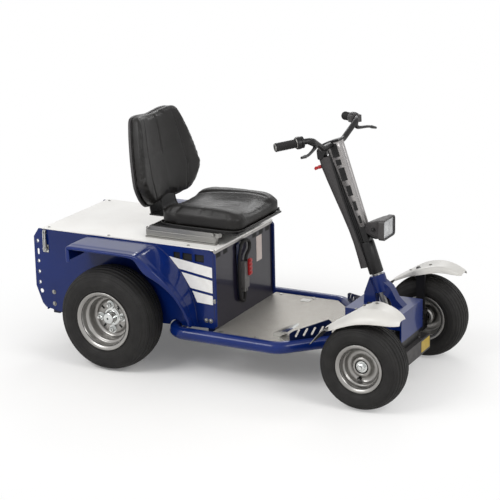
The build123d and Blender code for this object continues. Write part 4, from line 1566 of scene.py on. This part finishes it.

# Front panel: gloss sheet with slots under an aluminium rail, plug, cable and the plug's painted
# shadow

PANEL_FACE = 419


def panel_pad(bm, widths, heights, face, thick, radius=3):
    """Flat pad on the front panel between two widths and two heights."""
    (left, right), (low, high) = widths, heights
    corners = rectangle(left, low, right, high)
    ring = [at(face, y, z) for y, z in rounded_outline(corners, radius)]
    prism(bm, ring, Vector((thick * MM, 0, 0)))


def pads(*given):
    """Maker of pads on the front panel."""

    def maker(bm):
        for pad in given:
            panel_pad(bm, *pad)

    return maker


def front_panel(bm):
    panel_pad(bm, (-244, 244), (166, 504), PANEL_FACE - 2.4, 2.2, 12)
    for side in (-1, 1):
        pipe(bm, [at(PANEL_FACE - 2.5, side * 243.5, z) for z in (172, 300, 496)], 1.8 * MM, 10)


panel = build("front_panel_sheet", front_panel, "chassis", "grey_paint", bevel=0.6 * MM)
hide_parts("front_panel")


# Painted shade: the panel's slots are thin near-black pads for the shade inside them
SLOTS = [((y - 17, y + 17), (468, 486), PANEL_FACE - 0.3, 0.4) for y in (-206, -150, 92, 148, 204)]
build("front_panel_slots", pads(*SLOTS), "chassis", "black_paint", EXTRA["slot"])


def panel_rail(bm):
    panel_pad(bm, (-246, 246), (489, 503), PANEL_FACE, 2.4, 1)
    panel_pad(bm, (-246, 246), (501, 503.4), PANEL_FACE - 14, 15, 1)
    for y in (-225, -75, 75, 225):
        bolt_head(bm, at(PANEL_FACE + 2.4, y, 495), Vector((1, 0, 0)), 3 * MM, 1.6 * MM, 12)


build("front_panel_rail", panel_rail, "chassis", "bright_steel", EXTRA["anodised"], bevel=0.4 * MM)


LABEL = ((106, 152), (362, 466), PANEL_FACE, 0.5, 2)
build("front_panel_label", pads(LABEL), "chassis", "white_paint", EXTRA["pink"])

# Plug: body with three ribs and a neck, red grip with four finger ridges
PLUG = [((-35, 2), (292, 399), PANEL_FACE, 21.5, 4)]
PLUG += [((-32, -1), (z, z + 4), PANEL_FACE + 21, 1.6, 1.5) for z in (306, 316, 326)]
PLUG += [((-29, -4), (276, 292), PANEL_FACE + 3, 14, 3)]
plug = build("plug_body", pads(*PLUG), "chassis", "grey_plastic", bevel=1.5 * MM)
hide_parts("battery_connector")
GRIP = [((-13, 11), (341, 409), PANEL_FACE + 22, 9, 5)]
GRIP += [((-10, 8), (z, z + 8), PANEL_FACE + 30, 4, 2.5) for z in (348, 364, 380, 396)]
build("plug_grip", pads(*GRIP), "chassis", "grey_plastic", EXTRA["red"], bevel=1.5 * MM)


def cord(name, route, radius, body, slot):
    """Cable as a smooth curve through a few given points."""
    curve = bpy.data.curves.new(name, "CURVE")
    curve.dimensions = "3D"
    curve.bevel_depth = radius * MM
    curve.bevel_resolution = 4
    curve.use_fill_caps = True
    line = curve.splines.new("NURBS")
    line.points.add(len(route) - 1)
    for point, place in zip(line.points, route):
        point.co = (*place, 1)
    line.order_u = 3
    line.use_endpoint_u = True
    line.resolution_u = 8
    made = bpy.data.objects.new(name, curve)
    bpy.context.scene.collection.objects.link(made)
    curve.materials.append(MATERIALS[slot])
    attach(made, body)
    return made


CABLE_ROUTE = (
    (-6, 400), (-6, 420), (34, 440), (24, 484), (-62, 484), (-62, 262), (-40, 240), (-16, 240),
    (-16, 290)
)
cable = cord(
    "power_cable_loop", [
        at(PANEL_FACE + 11, y, z) for y, z in CABLE_ROUTE
    ], 6.5, "chassis", "black_rubber"
)
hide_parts("power_cable")


def painted_plug_shadow(bm):
    """Painted shadow: a dark blue sheet beside the plug, folded like a hanging strap, where the
    plug's shadow falls on the panel.
    """
    way = ((-56, 488, 4), (-64, 470, 9), (-60, 420, 6), (-52, 360, 5), (-54, 300, 5), (-50, 256, 6))
    rows = []
    for y, z, out in way:
        rows.append(
            [
                at(PANEL_FACE + out + lift, y + dy, z) for dy,
                lift in ((-13, 0), (-8, 1.5), (8, 1.5), (13, 0))
            ]
        )
    grid_faces(bm, rows)


# Painted shadow of the plug on the front panel, as a dark blue sheet
build("painted_plug_shadow", painted_plug_shadow, "chassis", "dark_blue_paint", solid=1.6 * MM)

# Front skirt label, deck and floor screws, floor tab

# Station of the front skirt's face
SKIRT_FACE = 1150


def skirt_label(bm):
    corners = rectangle(58, 99, 142, 143)
    ring = [at(SKIRT_FACE, y, z) for y, z in rounded_outline(corners, 3)]
    prism(bm, ring, Vector((0.6 * MM, 0, 0)))


build("skirt_label", skirt_label, "chassis", "white_paint", EXTRA["yellow"])


def heads(spots, normal, radius, height, sides=6):
    """Maker of one fastener head at each spot, all facing one way."""

    def maker(bm):
        for spot in spots:
            bolt_head(bm, at(*spot), Vector(normal), radius * MM, height * MM, sides)

    return maker


DECK_SCREWS = [
    (x, s * y, 507.2) for s in (-1, 1) for x, y in ((-350, 225), (-60, 232), (60, 120), (300, 228))
]
build("deck_screws", heads(DECK_SCREWS, (0, 0, 1), 4.5, 2, 16), "lid", "bright_steel")
FLOOR_SCREWS = [(x, s * 256, 184) for s in (-1, 1) for x in (450, 600, 750)]
build(
    "floor_screws", heads(FLOOR_SCREWS, (0, 0, 1), 7, 3, 16), "chassis", "bright_steel"
)


# Painted reflection: the small chrome tab is coloured white plastic so that it shows its bright
# glint
def floor_tab(bm):
    corners = rectangle(560, 205, 600, 238)
    prism(bm, [at(x, y, 184.2) for x, y in rounded_outline(corners, 3)], Vector((0, 0, 1.2 * MM)))


build("floor_tab", floor_tab, "chassis", "white_plastic")

# CAD nodes that stay as they are take the finish of their slot

for subpart in frame["record"]["subparts"]:
    for held in frame["nodes"][subpart["node"]].material_slots:
        held.material = MATERIALS[subpart["material_slot"]]

# Camera at the photograph's angle, pale floor and backdrop, soft studio light

AZIMUTH, ELEVATION, ROLL = radians(28.17), radians(16.59), radians(-1.35)
CAMERA_AT = Vector((2.90318, -5.29560, 2.23267))


def camera_axes():
    back = Vector((sin(AZIMUTH) * cos(ELEVATION), -cos(AZIMUTH) * cos(ELEVATION), sin(ELEVATION)))
    right = (-back).cross(Vector((0, 0, 1))).normalized()
    up = right.cross(-back)
    turned_right = right * cos(ROLL) + up * sin(ROLL)
    return turned_right, up * cos(ROLL) - right * sin(ROLL), back


def place_camera():
    data = bpy.data.cameras.new("studio_camera")
    data.lens = 114.5
    data.sensor_width = 36
    camera = bpy.data.objects.new("studio_camera", data)
    bpy.context.scene.collection.objects.link(camera)
    turn = Matrix(camera_axes()).transposed().to_4x4()
    camera.matrix_world = Matrix.Translation(CAMERA_AT) @ turn
    bpy.context.scene.camera = camera


def soft_lamp(name, place, aim, size, power, tint="#ffffff"):
    data = bpy.data.lights.new(name, "AREA")
    data.shape = "RECTANGLE"
    data.size, data.size_y = size
    data.energy = power
    data.color = linear(tint)[:3]
    lamp = bpy.data.objects.new(name, data)
    bpy.context.scene.collection.objects.link(lamp)
    lamp.location = place
    lamp.rotation_euler = (Vector(aim) - Vector(place)).to_track_quat("-Z", "Y").to_euler()


def floor_material():
    """Studio floor: keeps the soft shadow by the machine and is plain white further off."""
    made, tree, shader, place = start_material(
        "studio_floor", Roughness=0.85, Specular_IOR_Level=0.1
    )
    mottle(tree, shader, place, "#faf9f7", "#f4f3f1", 900)
    away = add_node(tree, "ShaderNodeVectorMath", {0: place}, {"operation": "LENGTH"})
    span = {"Value": away.outputs["Value"], "From Min": 0.4, "From Max": 1.5, "To Min": 0.12}
    far = add_node(tree, "ShaderNodeMapRange", span, {"interpolation_type": "SMOOTHSTEP"})
    seen = {
        0: far.outputs["Result"], 1: add_node(tree, "ShaderNodeLightPath").outputs["Is Camera Ray"]
    }
    share = add_node(tree, "ShaderNodeMath", seen, {"operation": "MULTIPLY"})
    white = add_node(tree, "ShaderNodeEmission", {"Color": linear("#ffffff"), "Strength": 1.0})
    parts = {0: share.outputs["Value"], 1: shader.outputs["BSDF"], 2: white.outputs["Emission"]}
    blend = add_node(tree, "ShaderNodeMixShader", parts)
    tree.links.new(blend.outputs["Shader"], tree.nodes["Material Output"].inputs["Surface"])
    return made


def world_light():
    world = bpy.data.worlds.new("studio")
    bpy.context.scene.world = world
    world.use_nodes = True
    tree = world.node_tree
    tree.nodes.clear()
    path = add_node(tree, "ShaderNodeLightPath")
    seen = {0: path.outputs["Is Camera Ray"], 1: path.outputs["Is Glossy Ray"]}
    both = add_node(tree, "ShaderNodeMath", seen, {"operation": "MAXIMUM"})
    clear = {0: both.outputs["Value"], 1: path.outputs["Is Transmission Ray"]}
    shown = add_node(tree, "ShaderNodeMath", clear, {"operation": "MAXIMUM"})
    span = {"Value": shown.outputs["Value"], "To Min": 0.5, "To Max": 1.0}
    level = add_node(tree, "ShaderNodeMapRange", span)
    sky = add_node(
        tree, "ShaderNodeBackground",
        {"Color": linear("#ffffff"), "Strength": level.outputs["Result"]}
    )
    add_node(tree, "ShaderNodeOutputWorld", {"Surface": sky.outputs["Background"]})


def floor(bm):
    for x in range(-6, 6):
        for y in range(-6, 6):
            corners = [
                bm.verts.new((x + dx, y + dy, -0.001)) for dx,
                dy in ((0, 0), (1, 0), (1, 1), (0, 1))
            ]
            bm.faces.new(corners)
    bmesh.ops.remove_doubles(bm, verts=bm.verts, dist=1e-5)


ground_bm = bmesh.new()
floor(ground_bm)
ground = bpy.data.objects.new("studio_floor", mesh_of(ground_bm, "studio_floor"))
ground.data.materials.append(floor_material())
bpy.context.scene.collection.objects.link(ground)

world_light()
place_camera()
soft_lamp("key_softbox", (-1.6, -3.4, 3.6), (0, 0, 0.4), (2.6, 1.6), 120)
soft_lamp("front_softbox", (3.6, -1.2, 2.6), (0.3, 0, 0.4), (1.8, 1.8), 65)
soft_lamp("rim_strip", (-1.0, 3.2, 2.8), (0, 0, 0.4), (2.4, 0.6), 45)
scene = bpy.context.scene
scene.view_settings.view_transform = "Standard"
